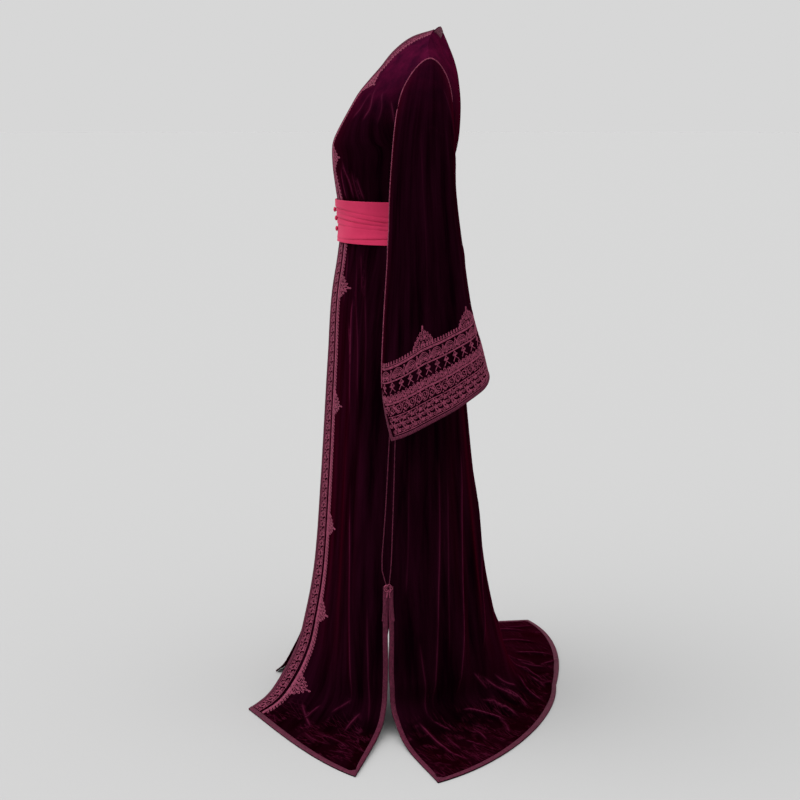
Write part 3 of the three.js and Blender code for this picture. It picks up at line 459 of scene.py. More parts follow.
def shell(net, thickness):
    """Points, faces and texture places of a closed wall of cloth round a net."""
    rows, columns = net.rows, net.columns
    count = rows * columns
    outer = (net.points + net.normals * thickness / 2).reshape(-1, 3)
    inner = (net.points - net.normals * thickness / 2).reshape(-1, 3)
    ids = np.arange(count).reshape(rows, columns)
    if net.closed:
        ids = np.hstack([ids, ids[:, :1]])
    a, b, c, d = ids[:-1, :-1].ravel(), ids[:-1, 1:].ravel(), ids[1:, 1:].ravel(), ids[1:, :-1].ravel()
    front = np.stack([a, b, c, d], 1)
    quads = [front, front[:, ::-1] + count]
    rims = [ids[0, ::-1], ids[-1]]
    if not net.closed:
        rims += [ids[:, 0], ids[::-1, -1]]
    for rim in rims:
        quads.append(np.stack([rim[:-1], rim[:-1] + count, rim[1:] + count, rim[1:]], 1))
    quads = np.vstack(quads)
    if net.turn < 0:
        quads = quads[:, ::-1]
    return np.vstack([outer, inner]), quads.tolist()


def cloth_uv(net):
    """Texture places that run across and down the cloth, in metres."""
    across = np.linalg.norm(np.diff(net.points, axis=1), axis=2).mean(axis=0)
    down = np.linalg.norm(np.diff(net.points, axis=0), axis=2).mean(axis=1)
    u = np.concatenate([[0], np.cumsum(across)])[: net.columns] / 1000
    v = np.concatenate([[0], np.cumsum(down)])[: net.rows] / 1000
    grid = np.stack(np.meshgrid(u, v), -1).reshape(-1, 2)
    return np.vstack([grid, grid])


class Strands:
    """Gathers many cords or ribbons into one mesh. Each is a row of rings of points."""

    def __init__(self):
        self.points, self.faces, self.uv, self.count, self.length = [], [], [], 0, 0.0

    def add(self, rings, closed=False):
        stations, sides = rings.shape[:2]
        ids = self.count + np.arange(stations * sides).reshape(stations, sides)
        after = np.roll(ids, -1, axis=0) if closed else ids[1:]
        here = ids if closed else ids[:-1]
        quads = np.stack([here, np.roll(here, -1, axis=1), np.roll(after, -1, axis=1), after], -1)
        self.faces += quads.reshape(-1, 4).tolist()
        if not closed:
            self.faces += [ids[0, ::-1].tolist(), ids[-1].tolist()]
        middle = rings.mean(axis=1)
        along = np.concatenate([[0], np.cumsum(np.linalg.norm(np.diff(middle, axis=0), axis=1))])
        self.length += along[-1]
        u = np.broadcast_to(np.arange(sides) / sides, (stations, sides))
        v = np.broadcast_to(along[:, None] / 1000, (stations, sides))
        self.points.append(rings.reshape(-1, 3))
        self.uv.append(np.stack([u, v], -1).reshape(-1, 2))
        self.count += stations * sides

    def piece(self, name, material, crease_angle=60):
        return add_piece(name, np.vstack(self.points), self.faces, material, np.vstack(self.uv), crease_angle)


# %% Cords and braids on a net
CORD_SECTION = np.array([(-1, 0), (1, 0), (0.62, 0.95), (-0.62, 0.95)])  # a couched cord, flat underneath
CORD_SEAT = VELVET / 2 - 0.3  # couched cords sink a little into the pile
NO_CORD_WAY = (0.9, 0.1, 0.42)  # a direction in which no round cord runs


def ahead_along(points, closed):
    """The direction of a line of points at each of them."""
    ahead = np.roll(points, -1, axis=0) - np.roll(points, 1, axis=0)
    if not closed:
        ahead[0], ahead[-1] = points[1] - points[0], points[-1] - points[-2]
    return unit(ahead)


def couch(strands, net, path, radius, seat=CORD_SEAT, closed=False):
    """Lays a cord on a net along rows and columns."""
    middle = net.at(path[:, 0], path[:, 1], seat)
    normal = unit(net.sample(net.normals, path[:, 0], path[:, 1]))
    side = unit(np.cross(normal, ahead_along(middle, closed)))
    section = side[:, None] * CORD_SECTION[:, :1] + normal[:, None] * CORD_SECTION[:, 1:]
    strands.add(middle[:, None] + radius * section, closed)


# How far across a braid and how high over its seat each point of its section lies, as shares.
BRAID_SECTION = [(0, 0), (0.06, 0.7), (0.28, 1), (0.5, 0.86), (0.72, 1), (0.94, 0.7), (1, 0)]


def braid(strands, net, one_edge, other_edge, high=1.5, seat=VELVET / 2 - 0.2):
    """A flat braid between two lines of rows and columns on a net."""
    rings = []
    for share, height in BRAID_SECTION:
        spot = mix(one_edge, other_edge, share)
        rings.append(net.at(spot[:, 0], spot[:, 1], seat + high * height))
    rings = np.stack(rings, axis=1)
    if np.sum(np.cross(rings[1, 3] - rings[0, 3], rings[0, 6] - rings[0, 0]) * net.normals[0, 0]) < 0:
        rings = rings[:, ::-1]
    strands.add(rings)


def round_cord(points, radius, sides=8, closed=False):
    """Rings of a round cord through points, each ring square to the cord."""
    ahead = ahead_along(points, closed)
    side = unit(np.cross(np.broadcast_to(NO_CORD_WAY, ahead.shape), ahead))
    up = np.cross(ahead, side)
    a = np.linspace(0, 2 * math.pi, sides, endpoint=False)[None, :, None]
    return points[:, None] + radius * (side[:, None] * np.cos(a) + up[:, None] * np.sin(a))

# %% [markdown]
# ## Finishes
#
# Velvet is a dense pile of short fibres. Seen from straight on, light sinks between the fibres and the
# cloth is nearly black; seen along the surface, the sides of the fibres catch the light and it glows wine
# red. Sheen on a rough, dark base gives this. Where the pile has been pressed it lies down and looks
# lighter, so a soft noise varies the colour. The cords are twisted rayon, a dull rose, and the sash is a
# matt crimson crepe.

# %% Colours and nodes
def colour(hex_code):
    """An sRGB hex colour as linear red, green, blue and alpha."""
    parts = [int(hex_code[n : n + 2], 16) / 255 for n in (1, 3, 5)]
    return tuple(p / 12.92 if p <= 0.04045 else ((p + 0.055) / 1.055) ** 2.4 for p in parts) + (1.0,)


def add_node(tree, kind, inputs=None, out=None, stops=(), **settings):
    """Adds a shader node and gives its first output in use, or the one named by out. An input is a value,
    or the output of another node that is linked to it. stops are the places and colours along a colour
    ramp."""
    made = tree.nodes.new("ShaderNode" + kind)
    for key, value in settings.items():
        setattr(made, key, value)
    for key, value in (inputs or {}).items():
        named = [socket for socket in made.inputs if socket.enabled and socket.name == key]
        socket = named[0] if named else made.inputs[key]
        if isinstance(value, bpy.types.NodeSocket):
            tree.links.new(value, socket)
        else:
            socket.default_value = value
    for n, (position, hex_code) in enumerate(stops):
        element = made.color_ramp.elements[n]
        element.position, element.color = position, colour(hex_code)
    return made.outputs[out] if out else next(socket for socket in made.outputs if socket.enabled)


def new_material(name, surface):
    """A material with a Principled surface whose plain values are set on its own sockets."""
    material = bpy.data.materials.new(name)
    material.use_nodes = True
    shader = material.node_tree.nodes["Principled BSDF"]
    for key, value in surface.items():
        shader.inputs[key].default_value = value
    return material, material.node_tree, shader


# %% Silk velvet, woven as a pile and cut
# Lean from sideways in degrees, width and length in metres of the patches whose edges are the fine creases.
FINE_CREASES = [(20, 0.013, 0.20), (33, 0.010, 0.13), (47, 0.015, 0.09)]
FINE_LINE = 0.022  # how near its middle value the noise is drawn as a line
STREAK, HALO = 2.6, 8.0  # half widths in millimetres of a painted highlight line and of the faint painted glow beside it


def make_velvet():
    surface = {"Roughness": 0.95, "Specular IOR Level": 0.0, "Sheen Weight": 0.13, "Sheen Roughness": 0.38}
    material, tree, shader = new_material("silk_velvet_cut_pile", surface | {"Sheen Tint": colour("#9a0538")})
    cloth_place = add_node(tree, "UVMap")
    in_metres = add_node(tree, "TexCoord", out="Object")
    marks = {mark: add_node(tree, "Attribute", out="Fac", attribute_name=mark) for mark in MARKS}

    # The nap is stroked downwards, so its patches are two centimetres wide and many times as long.
    stretched = add_node(tree, "Mapping", {"Vector": cloth_place, "Scale": (42.0, 3.2, 1.0)})
    nap = add_node(tree, "TexNoise", {"Vector": stretched, "Scale": 1.0, "Detail": 5.0, "Roughness": 0.62})
    # Painted light: the chest and shoulders are painted a paler wine, mottled a little, as if lit from above.
    top_light_mottle = add_node(tree, "TexNoise", {"Vector": in_metres, "Scale": 34.0, "Detail": 4.0, "Roughness": 0.6})
    standing = add_node(tree, "ValToRGB", {"Fac": nap}, stops=[(0.36, "#070003"), (0.70, "#1b030e")])
    # Painted shade: cloth lying on the floor is painted darker than the cloth that hangs.
    floor_shade_colour = add_node(tree, "ValToRGB", {"Fac": nap}, stops=[(0.42, "#020001"), (0.66, "#0d0106")])
    top_light_colour = add_node(tree, "ValToRGB", {"Fac": top_light_mottle}, stops=[(0.32, "#27061a"), (0.74, "#480a27")])

    # Where cloth lies on the floor, fine creases are the lines at which a stretched noise passes its middle.
    # They are painted pale, as highlights, and they also bump the surface.
    fading = {"interpolation_type": "SMOOTHSTEP"}
    creased = 0.0
    for lean, wide, long in FINE_CREASES:
        laid = {"Vector": in_metres, "Rotation": (0, 0, math.radians(lean)), "Scale": (long, wide, 0.1)}
        along = add_node(tree, "Mapping", laid, vector_type="TEXTURE")
        noise = add_node(tree, "TexNoise", {"Vector": along, "Scale": 1.0, "Detail": 1.0, "Distortion": 0.2})
        past_middle = add_node(tree, "Math", {0: noise, 1: 0.5}, operation="SUBTRACT")
        from_middle = add_node(tree, "Math", {0: past_middle}, operation="ABSOLUTE")
        near = {"Value": from_middle, "From Max": FINE_LINE, "To Min": 1.0, "To Max": 0.0}
        thin = add_node(tree, "MapRange", near, **fading)
        creased = add_node(tree, "Math", {0: creased, 1: thin}, operation="MAXIMUM")
    patches = add_node(tree, "TexNoise", {"Vector": in_metres, "Scale": 22.0, "Detail": 2.0})
    shown = add_node(tree, "MapRange", {"Value": patches, "From Min": 0.44, "From Max": 0.56})
    for part in (shown, marks["floor_shade_and_creases"]):
        creased = add_node(tree, "Math", {0: creased, 1: part}, operation="MULTIPLY")

    # A painted highlight along a crease ridge is a thin pale streak, broken up a little along its length,
    # with a faint glow.
    away = add_node(tree, "Math", {0: marks["away"]}, operation="ABSOLUTE")
    ridge_highlight = []
    for reach in (HALO, STREAK):
        near = {"Value": away, "From Max": reach, "To Min": 1.0, "To Max": 0.0}
        line_there = add_node(tree, "MapRange", near, **fading)
        ridge_highlight.append(add_node(tree, "Math", {0: line_there, 1: marks["ridge_highlight"]}, operation="MULTIPLY"))
    halo, streak = ridge_highlight
    broken = add_node(tree, "MapRange", {"Value": nap, "From Min": 0.3, "From Max": 0.55})
    streak = add_node(tree, "Math", {0: streak, 1: broken}, operation="MULTIPLY")

    # Each layer lies over the ones before it: where it shows, how strongly at most, and its colour.
    base = standing
    layers = [
        # painted shade: cloth lying on the floor darker
        (marks["floor_shade_and_creases"], 1.0, floor_shade_colour),
        # painted light: the chest and shoulders paler, as if lit from above
        (marks["painted_top_light"], 1.0, top_light_colour),
        # painted highlights: the fine creases on the floor are pale
        (creased, 0.55, colour("#3d1022")),
        # painted highlights: the faint glow and the pale streak along crease ridges
        (halo, 0.4, colour("#3d0a21")),
        (streak, 0.65, colour("#5e2038")),
    ]
    for where, most, over in layers:
        strength = add_node(tree, "Math", {0: where, 1: most}, operation="MULTIPLY")
        base = add_node(tree, "Mix", {"Factor": strength, "A": base, "B": over}, data_type="RGBA")
    tree.links.new(base, shader.inputs["Base Color"])

    # Pile tufts are about 0.3 mm; they are drawn 1.5 mm wide, so that they show.
    pile = add_node(tree, "TexNoise", {"Vector": cloth_place, "Scale": 650.0, "Detail": 2.0})
    tufts = add_node(tree, "Bump", {"Height": pile, "Strength": 0.3, "Distance": 0.0008})
    bump = add_node(tree, "Bump", {"Height": creased, "Strength": 0.5, "Distance": 0.002, "Normal": tufts})
    tree.links.new(bump, shader.inputs["Normal"])
    return material


# %% Rayon cord and braid, twisted and plaited
def make_cord(name, dark, light, turns, slant):
    """turns is how many twists lie in a metre, and slant how far one leans round the cord."""
    surface = {"Roughness": 0.7, "Specular IOR Level": 0.12, "Sheen Weight": 0.1, "Sheen Roughness": 0.4}
    material, tree, shader = new_material(name, surface | {"Sheen Tint": colour("#b04868")})
    place_on = add_node(tree, "UVMap")
    round_it, down_it = (add_node(tree, "SeparateXYZ", {"Vector": place_on}, out=axis) for axis in "XY")
    lean = add_node(tree, "Math", {0: round_it, 1: slant}, operation="MULTIPLY")
    twist = add_node(tree, "Math", {0: down_it, 1: turns, 2: lean}, operation="MULTIPLY_ADD")
    wave = add_node(tree, "Math", {0: twist, 1: 0.5}, operation="PINGPONG")
    in_metres = add_node(tree, "TexCoord", out="Object")
    uneven = add_node(tree, "TexNoise", {"Vector": in_metres, "Scale": 210.0, "Detail": 3.0})
    # Painted shade and highlight: the ramp paints the cord dark between its twists and pale on their tops,
    # with a little random tone from the noise.
    mixed = {0: wave, 1: 0.9, 2: uneven}
    shade = add_node(tree, "Math", mixed, operation="MULTIPLY_ADD", use_clamp=True)
    base = add_node(tree, "ValToRGB", {"Fac": shade}, stops=[(0.35, dark), (0.95, light)])
    tree.links.new(base, shader.inputs["Base Color"])
    bump = add_node(tree, "Bump", {"Height": wave, "Strength": 0.6, "Distance": 0.0006})
    tree.links.new(bump, shader.inputs["Normal"])
    return material


# %% Viscose crepe, dyed crimson and pleated by hand
def make_sash_cloth():
    surface = {"Roughness": 0.85, "Specular IOR Level": 0.25, "Sheen Weight": 0.2}
    surface["Sheen Tint"] = colour("#f08aa8")
    material, tree, shader = new_material("viscose_crepe_crimson", surface)
    cloth_place = add_node(tree, "UVMap")
    patches = add_node(tree, "TexNoise", {"Vector": cloth_place, "Scale": 14.0, "Detail": 3.0})
    base = add_node(tree, "ValToRGB", {"Fac": patches}, stops=[(0.3, "#a81a44"), (0.75, "#b92650")])
    tree.links.new(base, shader.inputs["Base Color"])
    # Threads are 0.5 mm apart; they are drawn 1 mm apart, so that they show.
    weave = add_node(tree, "TexNoise", {"Vector": cloth_place, "Scale": 1000.0, "Detail": 1.0})
    bump = add_node(tree, "Bump", {"Height": weave, "Strength": 0.3, "Distance": 0.0005})
    tree.links.new(bump, shader.inputs["Normal"])
    return material


velvet = make_velvet()
# The dark and light colours are the painted shade between twists and the painted highlight on them.
couching_cord = make_cord("rayon_cord_couched", "#260611", "#8c3d57", 420.0, 1.0)
flat_braid = make_cord("rayon_braid_plaited", "#1e040e", "#561a31", 260.0, 3.0)
sash_cloth = make_sash_cloth()
print("materials:", [material.name for material in bpy.data.materials])

# %% [markdown]
# ## The velvet panels
#
# Rows of the nets lie close at the shoulder and at the hem, where the creases are small, and wider in
# between. The two halves of the back are one cloth, joined down the centre.

# %% Nets of the panels
STEP_CHANGE = 120  # millimetres over which the distance between rows changes


def row_shares(length, top, top_step, step, foot, foot_step):
    """Shares of a length at which rows lie: top_step apart near its top, foot_step near its foot, and step
    apart in between."""
    down = np.linspace(0, length, 4000)
    size = mix(top_step, step, ease((down - top) / STEP_CHANGE))
    size = mix(size, foot_step, ease((down - (length - foot)) / STEP_CHANGE + 0.5))
    count = np.concatenate([[0], np.cumsum(np.diff(down) / size[1:])])
    return np.interp(np.linspace(0, count[-1], round(count[-1]) + 1), count, down) / length


def mirror(points):
    return points * (-1, 1, 1)


FRONT_COLUMNS, BACK_COLUMNS = 83, 79
front_shares = row_shares(1600, 260, 4.7, 6.4, 430, 4.1)
back_shares = row_shares(1800, 260, 5.7, 8.6, 500, 4.9)

fronts = {}
for side in ("left", "right"):
    points, widths, length = half_panel(f"front_{side}", front_shares, FRONT_COLUMNS)
    if side == "right":
        points = mirror(points)
    net = Net(points, -1 if side == "left" else 1)
    net.widths, net.downs = widths, front_shares * length
    fronts[side] = net
left, left_widths, back_length = half_panel("back_left", back_shares, BACK_COLUMNS)
right, right_widths, _ = half_panel("back_right", back_shares, BACK_COLUMNS)
back = Net(np.concatenate([mirror(right)[:, :0:-1], left], axis=1), 1)
back.widths, back.right_widths, back.downs = left_widths, right_widths, back_shares * back_length
print("front net", fronts["left"].points.shape, "back net", back.points.shape)


# %% Places on a net in millimetres
def front_spot(net, down, across):
    """Row and column of a place given down the front edge and across from it."""
    row = np.interp(down, net.downs, np.arange(net.rows))
    width = np.interp(down, net.downs, net.widths)
    return np.stack([row, across / width * (net.columns - 1)], -1)


def back_spot(down, from_side, side):
    """Row and column of a place on the back, given down it and across from one of its side edges."""
    row = np.interp(down, back.downs, np.arange(back.rows))
    widths = back.widths if side == "left" else back.right_widths
    inward = from_side / np.interp(down, back.downs, widths) * (BACK_COLUMNS - 1)
    return np.stack([row, back.columns - 1 - inward if side == "left" else inward], -1)


def down_at(net, height, column=0):
    """How far down the net's edge passes a height."""
    return np.interp(-height, -net.points[:, column, 2], net.downs)

# %% [markdown]
# ## The sleeves
#
# A sleeve is one cloth wrapped round the arm, with its seam down the front. The seam is left open above the
# hem, and the two edges of that slit draw apart under their own weight. Rings down the arm give the shape:
# round at the armhole, flat and wide where the cloth hangs free, with the back of the hem higher than the
# front.

# %% Net of a sleeve
# centre x, y, z; rise x, y, z from the middle of a ring to its outer side; half width; how much higher the
# back is
SLEEVE = [
    (178, 53, 1338, 12, 10, 93, 53, 0),  # armhole
    (203, 52, 1318, 24, 8, 82, 57, 0),
    (223, 50, 1280, 33, 5, 62, 60, 0),
    (236, 48, 1222, 38, 2, 38, 63, 0),
    (243, 48.5, 1143, 40, 0, 14, 68.5, 0),
    (250, 53, 1045, 41, 0, 2, 76, 2),
    (262, 58, 895, 43, 0, -4, 91, 19),
    (272, 67, 797, 45, 0, -11, 103, 41),
    (280, 80, 712, 47, 0, -18, 105, 64),  # hem
]
SQUARE = 2.5  # 2 is an ellipse
SLEEVE_START = 4.4
SLEEVE_COLUMNS = 113
SLIT_HALF_ANGLE = 30  # degrees that each edge of the slit draws back at the hem
SLEEVE_FOLDS = [(-48, 5, 22), (8, 6, 26), (52, 5, 20), (150, 6, 26)]  # degrees round, depth and half width
EVEN_SHARES = 201  # places evenly spaced round a row at which its column is looked up
CUFF_DEPTH = 240  # rows are evenly spaced this far above the hem, so that patterns keep their scale
sleeve_numbers = smooth_table(range(len(SLEEVE)), SLEEVE)


def sleeve_points(ring, degrees):
    numbers = sleeve_numbers(ring.ravel()).T.reshape(8, *ring.shape)
    x, y, z, rise_x, rise_y, rise_z, half, slant = numbers
    a = np.radians(degrees)
    squared = lambda value: np.sign(value) * np.abs(value) ** (2 / SQUARE)
    free = ease((1400 - z) / 200)
    rise, side = arched(a)
    c, s = mix(rise, squared(np.cos(a)), free), mix(side, squared(np.sin(a)), free)
    hollow = ARMHOLE["hollow"] * np.sin(a) ** 2 * ease((z - 1270) / 70)
    points = np.stack([x + rise_x * c - hollow, y + rise_y * c + half * s, z + rise_z * c + slant * s], -1)
    outward = unit(np.stack([points[..., 0] - x, points[..., 1] - y, 0 * x], -1))
    grown = ease((ring - 3) / (len(SLEEVE) - 4))
    lift = 0
    for middle, depth, width in SLEEVE_FOLDS:
        away = ((degrees - middle + 540) % 360 - 180) / width
        lift = lift + depth * grown * np.exp(-(away**2))
    return points + outward * lift[..., None]


def sleeve_net(side):
    share = np.linspace(0, 1, SLEEVE_COLUMNS)
    ring = np.linspace(0, len(SLEEVE) - 1, 240)
    even = -90 + 360 * share
    line = sleeve_points(*np.meshgrid(ring, even, indexing="ij"))
    lengths = np.vstack([0 * even, np.cumsum(np.linalg.norm(np.diff(line, axis=0), axis=2), axis=0)])
    above = np.linspace(CUFF_DEPTH, 0, 73)
    upper = np.linspace(0, 1, 78)[:-1]
    rows = []
    for j in range(SLEEVE_COLUMNS):
        total = lengths[-1, j]
        distances = np.concatenate([mix(SLEEVE_START, total - CUFF_DEPTH, upper), total - above])
        rows.append(np.interp(distances, lengths[:, j], ring))
    rings = np.stack(rows, axis=1)
    above_hem = np.concatenate([np.full(len(upper), float(CUFF_DEPTH)), above])
    open_by = SLIT_HALF_ANGLE * np.clip(1 - above_hem / CUFF_SLIT, 0, 1) ** 0.9
    degrees = -90 + open_by[:, None] + (360 - 2 * open_by[:, None]) * share
    points = sleeve_points(rings, degrees)
    net = Net(points if side == "left" else mirror(points), -1 if side == "left" else 1)
    net.first_cuff_row = len(upper)
    net.painted_top_light *= 0.25  # the sleeves get a quarter of the painted light of the shoulders
    steps = np.linalg.norm(np.diff(points, axis=1), axis=2)
    net.girth = steps[-1].sum()
    round_it = np.hstack([0 * steps[:, :1], np.cumsum(steps, axis=1)])
    even = np.linspace(0, 1, EVEN_SHARES)
    net.column_at = np.array([np.interp(even, line / line[-1], np.arange(net.columns)) for line in round_it])
    return net


# The cuff's embroidery is as deep as drawn beside the slit, a little deeper beyond it, and shallower at the
# back: shares of the girth, and how much its height is stretched there.
CUFF_BULGE = [(0, 0.1, 0.22, 0.35, 0.45, 0.5), (1.0, 1.01, 1.03, 0.96, 0.88, 0.86)]


def cuff_spot(net, above, share):
    """Row and column of a place given above the hem and as a share of the way round from the slit."""
    step = CUFF_DEPTH / (net.rows - 1 - net.first_cuff_row)
    row = np.clip(net.rows - 1 - above / step, 0, net.rows - 1.001)
    place = np.clip(share, 0, 1) * (EVEN_SHARES - 1.001)
    i, k = np.asarray(row).astype(int), np.asarray(place).astype(int)
    upper = mix(net.column_at[i, k], net.column_at[i, k + 1], place - k)
    lower = mix(net.column_at[i + 1, k], net.column_at[i + 1, k + 1], place - k)
    return np.stack([row + 0 * place, mix(upper, lower, row - i)], -1)


def bulged(above, share):
    return above * np.interp(np.minimum(share, 1 - share), *CUFF_BULGE)


sleeves = {side: sleeve_net(side) for side in ("left", "right")}
print("sleeve net", sleeves["left"].points.shape, "hem girth", round(sleeves["left"].girth), "mm")

# %% [markdown]
# ## Creases
#
# Velvet keeps the line of every fold. On a ridge the pile catches the light and shines paler, so each crease
# lifts the net a little and a pale highlight is painted along it. The long folds of the skirt run nearly
# straight down, short pleats leave the bust motif and the sash, and where the train and the hems lie on the
# floor the cloth breaks into many small slanting creases. No two have the same length, height or spacing.

# %% Creases, listed one by one
# The places each crease runs through (x, y, z from the floor), its half width, its height and the strength of
# the highlight painted along it. A height below 0 is a trough.
FRONT_CREASES = [
    ([(122, -46, 1379), (144, -59, 1332), (135, -80, 1299)], 5, 3.0, 0.5),
    ([(149, -34, 1368), (158, -38, 1329), (156, -47, 1292)], 6, 2.6, 0.3),
    ([(127, -55, 1364), (123, -80, 1328), (103, -102, 1303)], 5, 2.6, 0.4),
    ([(164, -19, 1345), (164, -15, 1318), (163, -11, 1293)], 4, 1.6, 0.5),
    ([(132, -50, 1372), (135, -70, 1320), (120, -92, 1290)], 5, -2.0, 0),
    ([(86, -124, 1219), (92, -110, 1175), (89, -98, 1132)], 4, 2.8, 0.7),
    ([(78, -127, 1206), (71, -121, 1163), (69, -115, 1132)], 4, 2.6, 0.6),
    ([(107, -102, 1194), (102, -93, 1157), (100, -86, 1132)], 4, 2.4, 0.4),
    ([(112, -92, 1181), (108, -84, 1157), (107, -76, 1132)], 4, 2.0, 0.5),
    ([(95, -112, 1200), (95, -103, 1160), (93, -92, 1132)], 4, -2.2, 0),
    ([(60, -130, 1190), (55, -124, 1155), (52, -120, 1132)], 4, 2.2, 0.4),
    ([(176, -114, 569), (208, -112, 364), (239, -113, 193), (255, -112, 52)], 8, 4.0, 0.5),
    ([(120, -106, 929), (133, -110, 855), (146, -111, 762)], 5, 3.0, 0.6),
    ([(116, -118, 880), (129, -115, 824), (144, -113, 762), (158, -112, 650)], 5, 2.6, 0.5),
    ([(95, -95, 1021), (153, -93, 855), (183, -94, 669)], 8, 3.0, 0.25),
    ([(114, -71, 1027), (170, -72, 861), (197, -76, 693)], 8, 3.0, 0.2),
    ([(103, -85, 1027), (148, -81, 923)], 5, 2.2, 0.2),
    ([(90, -104, 1022), (120, -105, 960), (140, -104, 880)], 6, -2.4, 0),
    ([(70, -118, 1022), (82, -122, 970), (90, -126, 900)], 5, 1.8, 0.3),
    ([(251, -72, 287), (265, -68, 112), (311, -73, 19)], 8, 3.2, 0.25),
    ([(188, -221, 40), (239, -206, 21), (281, -191, 14)], 6, 3.0, 0.6),
    ([(220, -178, 45), (228, -193, 30), (242, -203, 21)], 5, 2.6, 0.6),
    ([(320, -119, 15), (287, -105, 25), (274, -83, 41)], 5, 3.0, 0.6),
    ([(324, -173, 11), (361, -137, 10), (403, -106, 8)], 6, 2.6, 0.4),
    ([(249, -151, 35), (249, -129, 48), (253, -104, 65)], 6, 2.4, 0.4),
    ([(300, -205, 8), (345, -180, 6), (380, -150, 5)], 6, 2.4, 0.4),
    ([(400, -150, 4), (420, -120, 4), (430, -95, 4)], 5, 2.4, 0.4),
]
BACK_CREASES = [
    ([(186, 81, 626), (229, 82, 281), (262, 79, 32)], 8, 4.5, 0.45),
    ([(123, 130, 612), (166, 132, 355), (213, 133, 37)], 8, 5.0, 0.6),
    ([(24, 162, 533), (71, 179, 327), (154, 182, 122)], 8, 4.5, 0.5),
    ([(219, 18, 633), (240, 16, 419), (254, 13, 285)], 8, 2.6, 0.15),
    ([(258, 43, 201), (256, 54, 88), (277, 64, 29)], 7, 3.0, 0.35),
    ([(177, 102, 555), (207, 105, 361), (225, 106, 76)], 9, 3.0, 0.2),
    ([(133, 148, 434), (157, 154, 261), (183, 155, 61)], 9, -4.0, 0),
    ([(205, 60, 600), (243, 50, 400), (256, 45, 260)], 9, -3.0, 0),
    ([(-83, 273, 36), (-77, 309, 15), (-58, 337, 5)], 5, 2.6, 0.8),
    ([(-112, 282, 30), (-126, 311, 16), (-147, 347, 7)], 5, 2.6, 0.6),
    ([(-13, 266, 43), (24, 284, 20), (51, 305, 5), (88, 323, 2)], 5, 3.0, 0.7),
    ([(168, 176, 37), (160, 209, 23), (164, 236, 11), (186, 266, 3)], 6, 3.4, 0.9),
    ([(216, 135, 31), (209, 165, 23), (208, 204, 11), (219, 234, 4)], 6, 3.6, 1.0),
    ([(292, 37, 26), (322, 61, 14), (388, 90, 3), (419, 111, 2), (451, 149, 2)], 5, 3.0, 0.9),
    ([(280, 73, 23), (293, 93, 16), (301, 110, 12)], 5, 2.4, 0.6),
    ([(475, 58, 2), (477, 82, 2), (490, 111, 2)], 4, 1.8, 0.5),
    ([(178, 160, 103), (155, 177, 72), (139, 194, 50)], 5, 3.0, 0.7),
    ([(158, 178, 88), (119, 208, 53), (103, 240, 28), (97, 277, 9)], 6, 3.4, 0.9),
    ([(336, 137, 4), (359, 157, 2), (377, 183, 2)], 5, 2.4, 0.7),
    ([(95, 232, 39), (93, 262, 18), (128, 287, 3)], 5, 3.0, 0.8),
    ([(331, 98, 8), (358, 112, 4), (400, 133, 2)], 5, 2.4, 0.5),
    ([(283, 156, 8), (303, 170, 4), (336, 190, 2)], 5, 2.4, 0.6),
    ([(117, 208, 80), (78, 240, 42), (55, 264, 28)], 5, 3.0, 0.7),
    ([(-54, 305, 15), (-30, 323, 5), (-7, 338, 2)], 5, 2.4, 0.6),
    ([(221, 217, 6), (246, 232, 3), (296, 237, 2)], 5, 2.4, 0.6),
    ([(153, 199, 31), (161, 220, 18), (157, 246, 9)], 5, 2.6, 0.6),
    ([(190, 190, 22), (192, 225, 9), (205, 250, 4)], 5, -2.4, 0),
    ([(140, 205, 40), (128, 245, 22), (140, 275, 6)], 5, -2.6, 0),
    ([(60, 260, 30), (60, 290, 12), (80, 305, 3)], 5, -2.2, 0),
    ([(250, 110, 30), (262, 150, 12), (290, 190, 3)], 6, -2.4, 0),
    ([(-30, 240, 75), (-70, 275, 28), (-90, 310, 8)], 6, 3.4, 0.6),
    ([(-90, 245, 60), (-130, 285, 20), (-150, 325, 6)], 6, 3.2, 0.6),
    ([(-20, 215, 190), (-60, 240, 105), (-120, 275, 40)], 8, 4.5, 0.45),
    ([(-60, 290, 20), (-30, 325, 5), (-60, 370, 2)], 5, 2.8, 0.6),
    ([(-180, 270, 30), (-230, 320, 10), (-250, 370, 2)], 6, 3.4, 0.6),
    ([(-240, 230, 30), (-300, 285, 6), (-330, 340, 2)], 6, 3.2, 0.6),
    ([(-300, 180, 30), (-370, 250, 5), (-420, 320, 2)], 6, 3.4, 0.6),
    ([(-150, 330, 5), (-190, 365, 2), (-220, 385, 2)], 5, 2.6, 0.5),
    ([(-400, 260, 8), (-450, 310, 3), (-490, 345, 2)], 6, 2.8, 0.5),
    ([(-120, 130, 640), (-160, 133, 370), (-215, 140, 60)], 8, 5.0, 0.6),
    ([(-178, 92, 620), (-225, 90, 300), (-255, 95, 60)], 8, 4.0, 0.45),
    ([(-40, 168, 560), (-60, 190, 330), (-75, 220, 120)], 9, 5.0, 0.5),
    ([(-222, 20, 640), (-244, 20, 420), (-262, 28, 200)], 8, 3.0, 0.3),
    ([(-148, 140, 700), (-150, 150, 450), (-190, 160, 120)], 9, -4.0, 0),
    ([(40, 132, 880), (60, 148, 700), (62, 165, 540)], 9, 3.0, 0.25),
    ([(-60, 126, 900), (-78, 140, 740), (-88, 150, 600)], 9, 3.0, 0.25),
    ([(150, 70, 1350), (138, 84, 1300), (120, 92, 1240)], 7, 2.0, 0.35),
    ([(158, 66, 1310), (142, 78, 1260), (118, 84, 1200)], 7, 1.8, 0.3),
    ([(-152, 70, 1345), (-140, 84, 1290), (-122, 92, 1235)], 7, 2.0, 0.35),
]
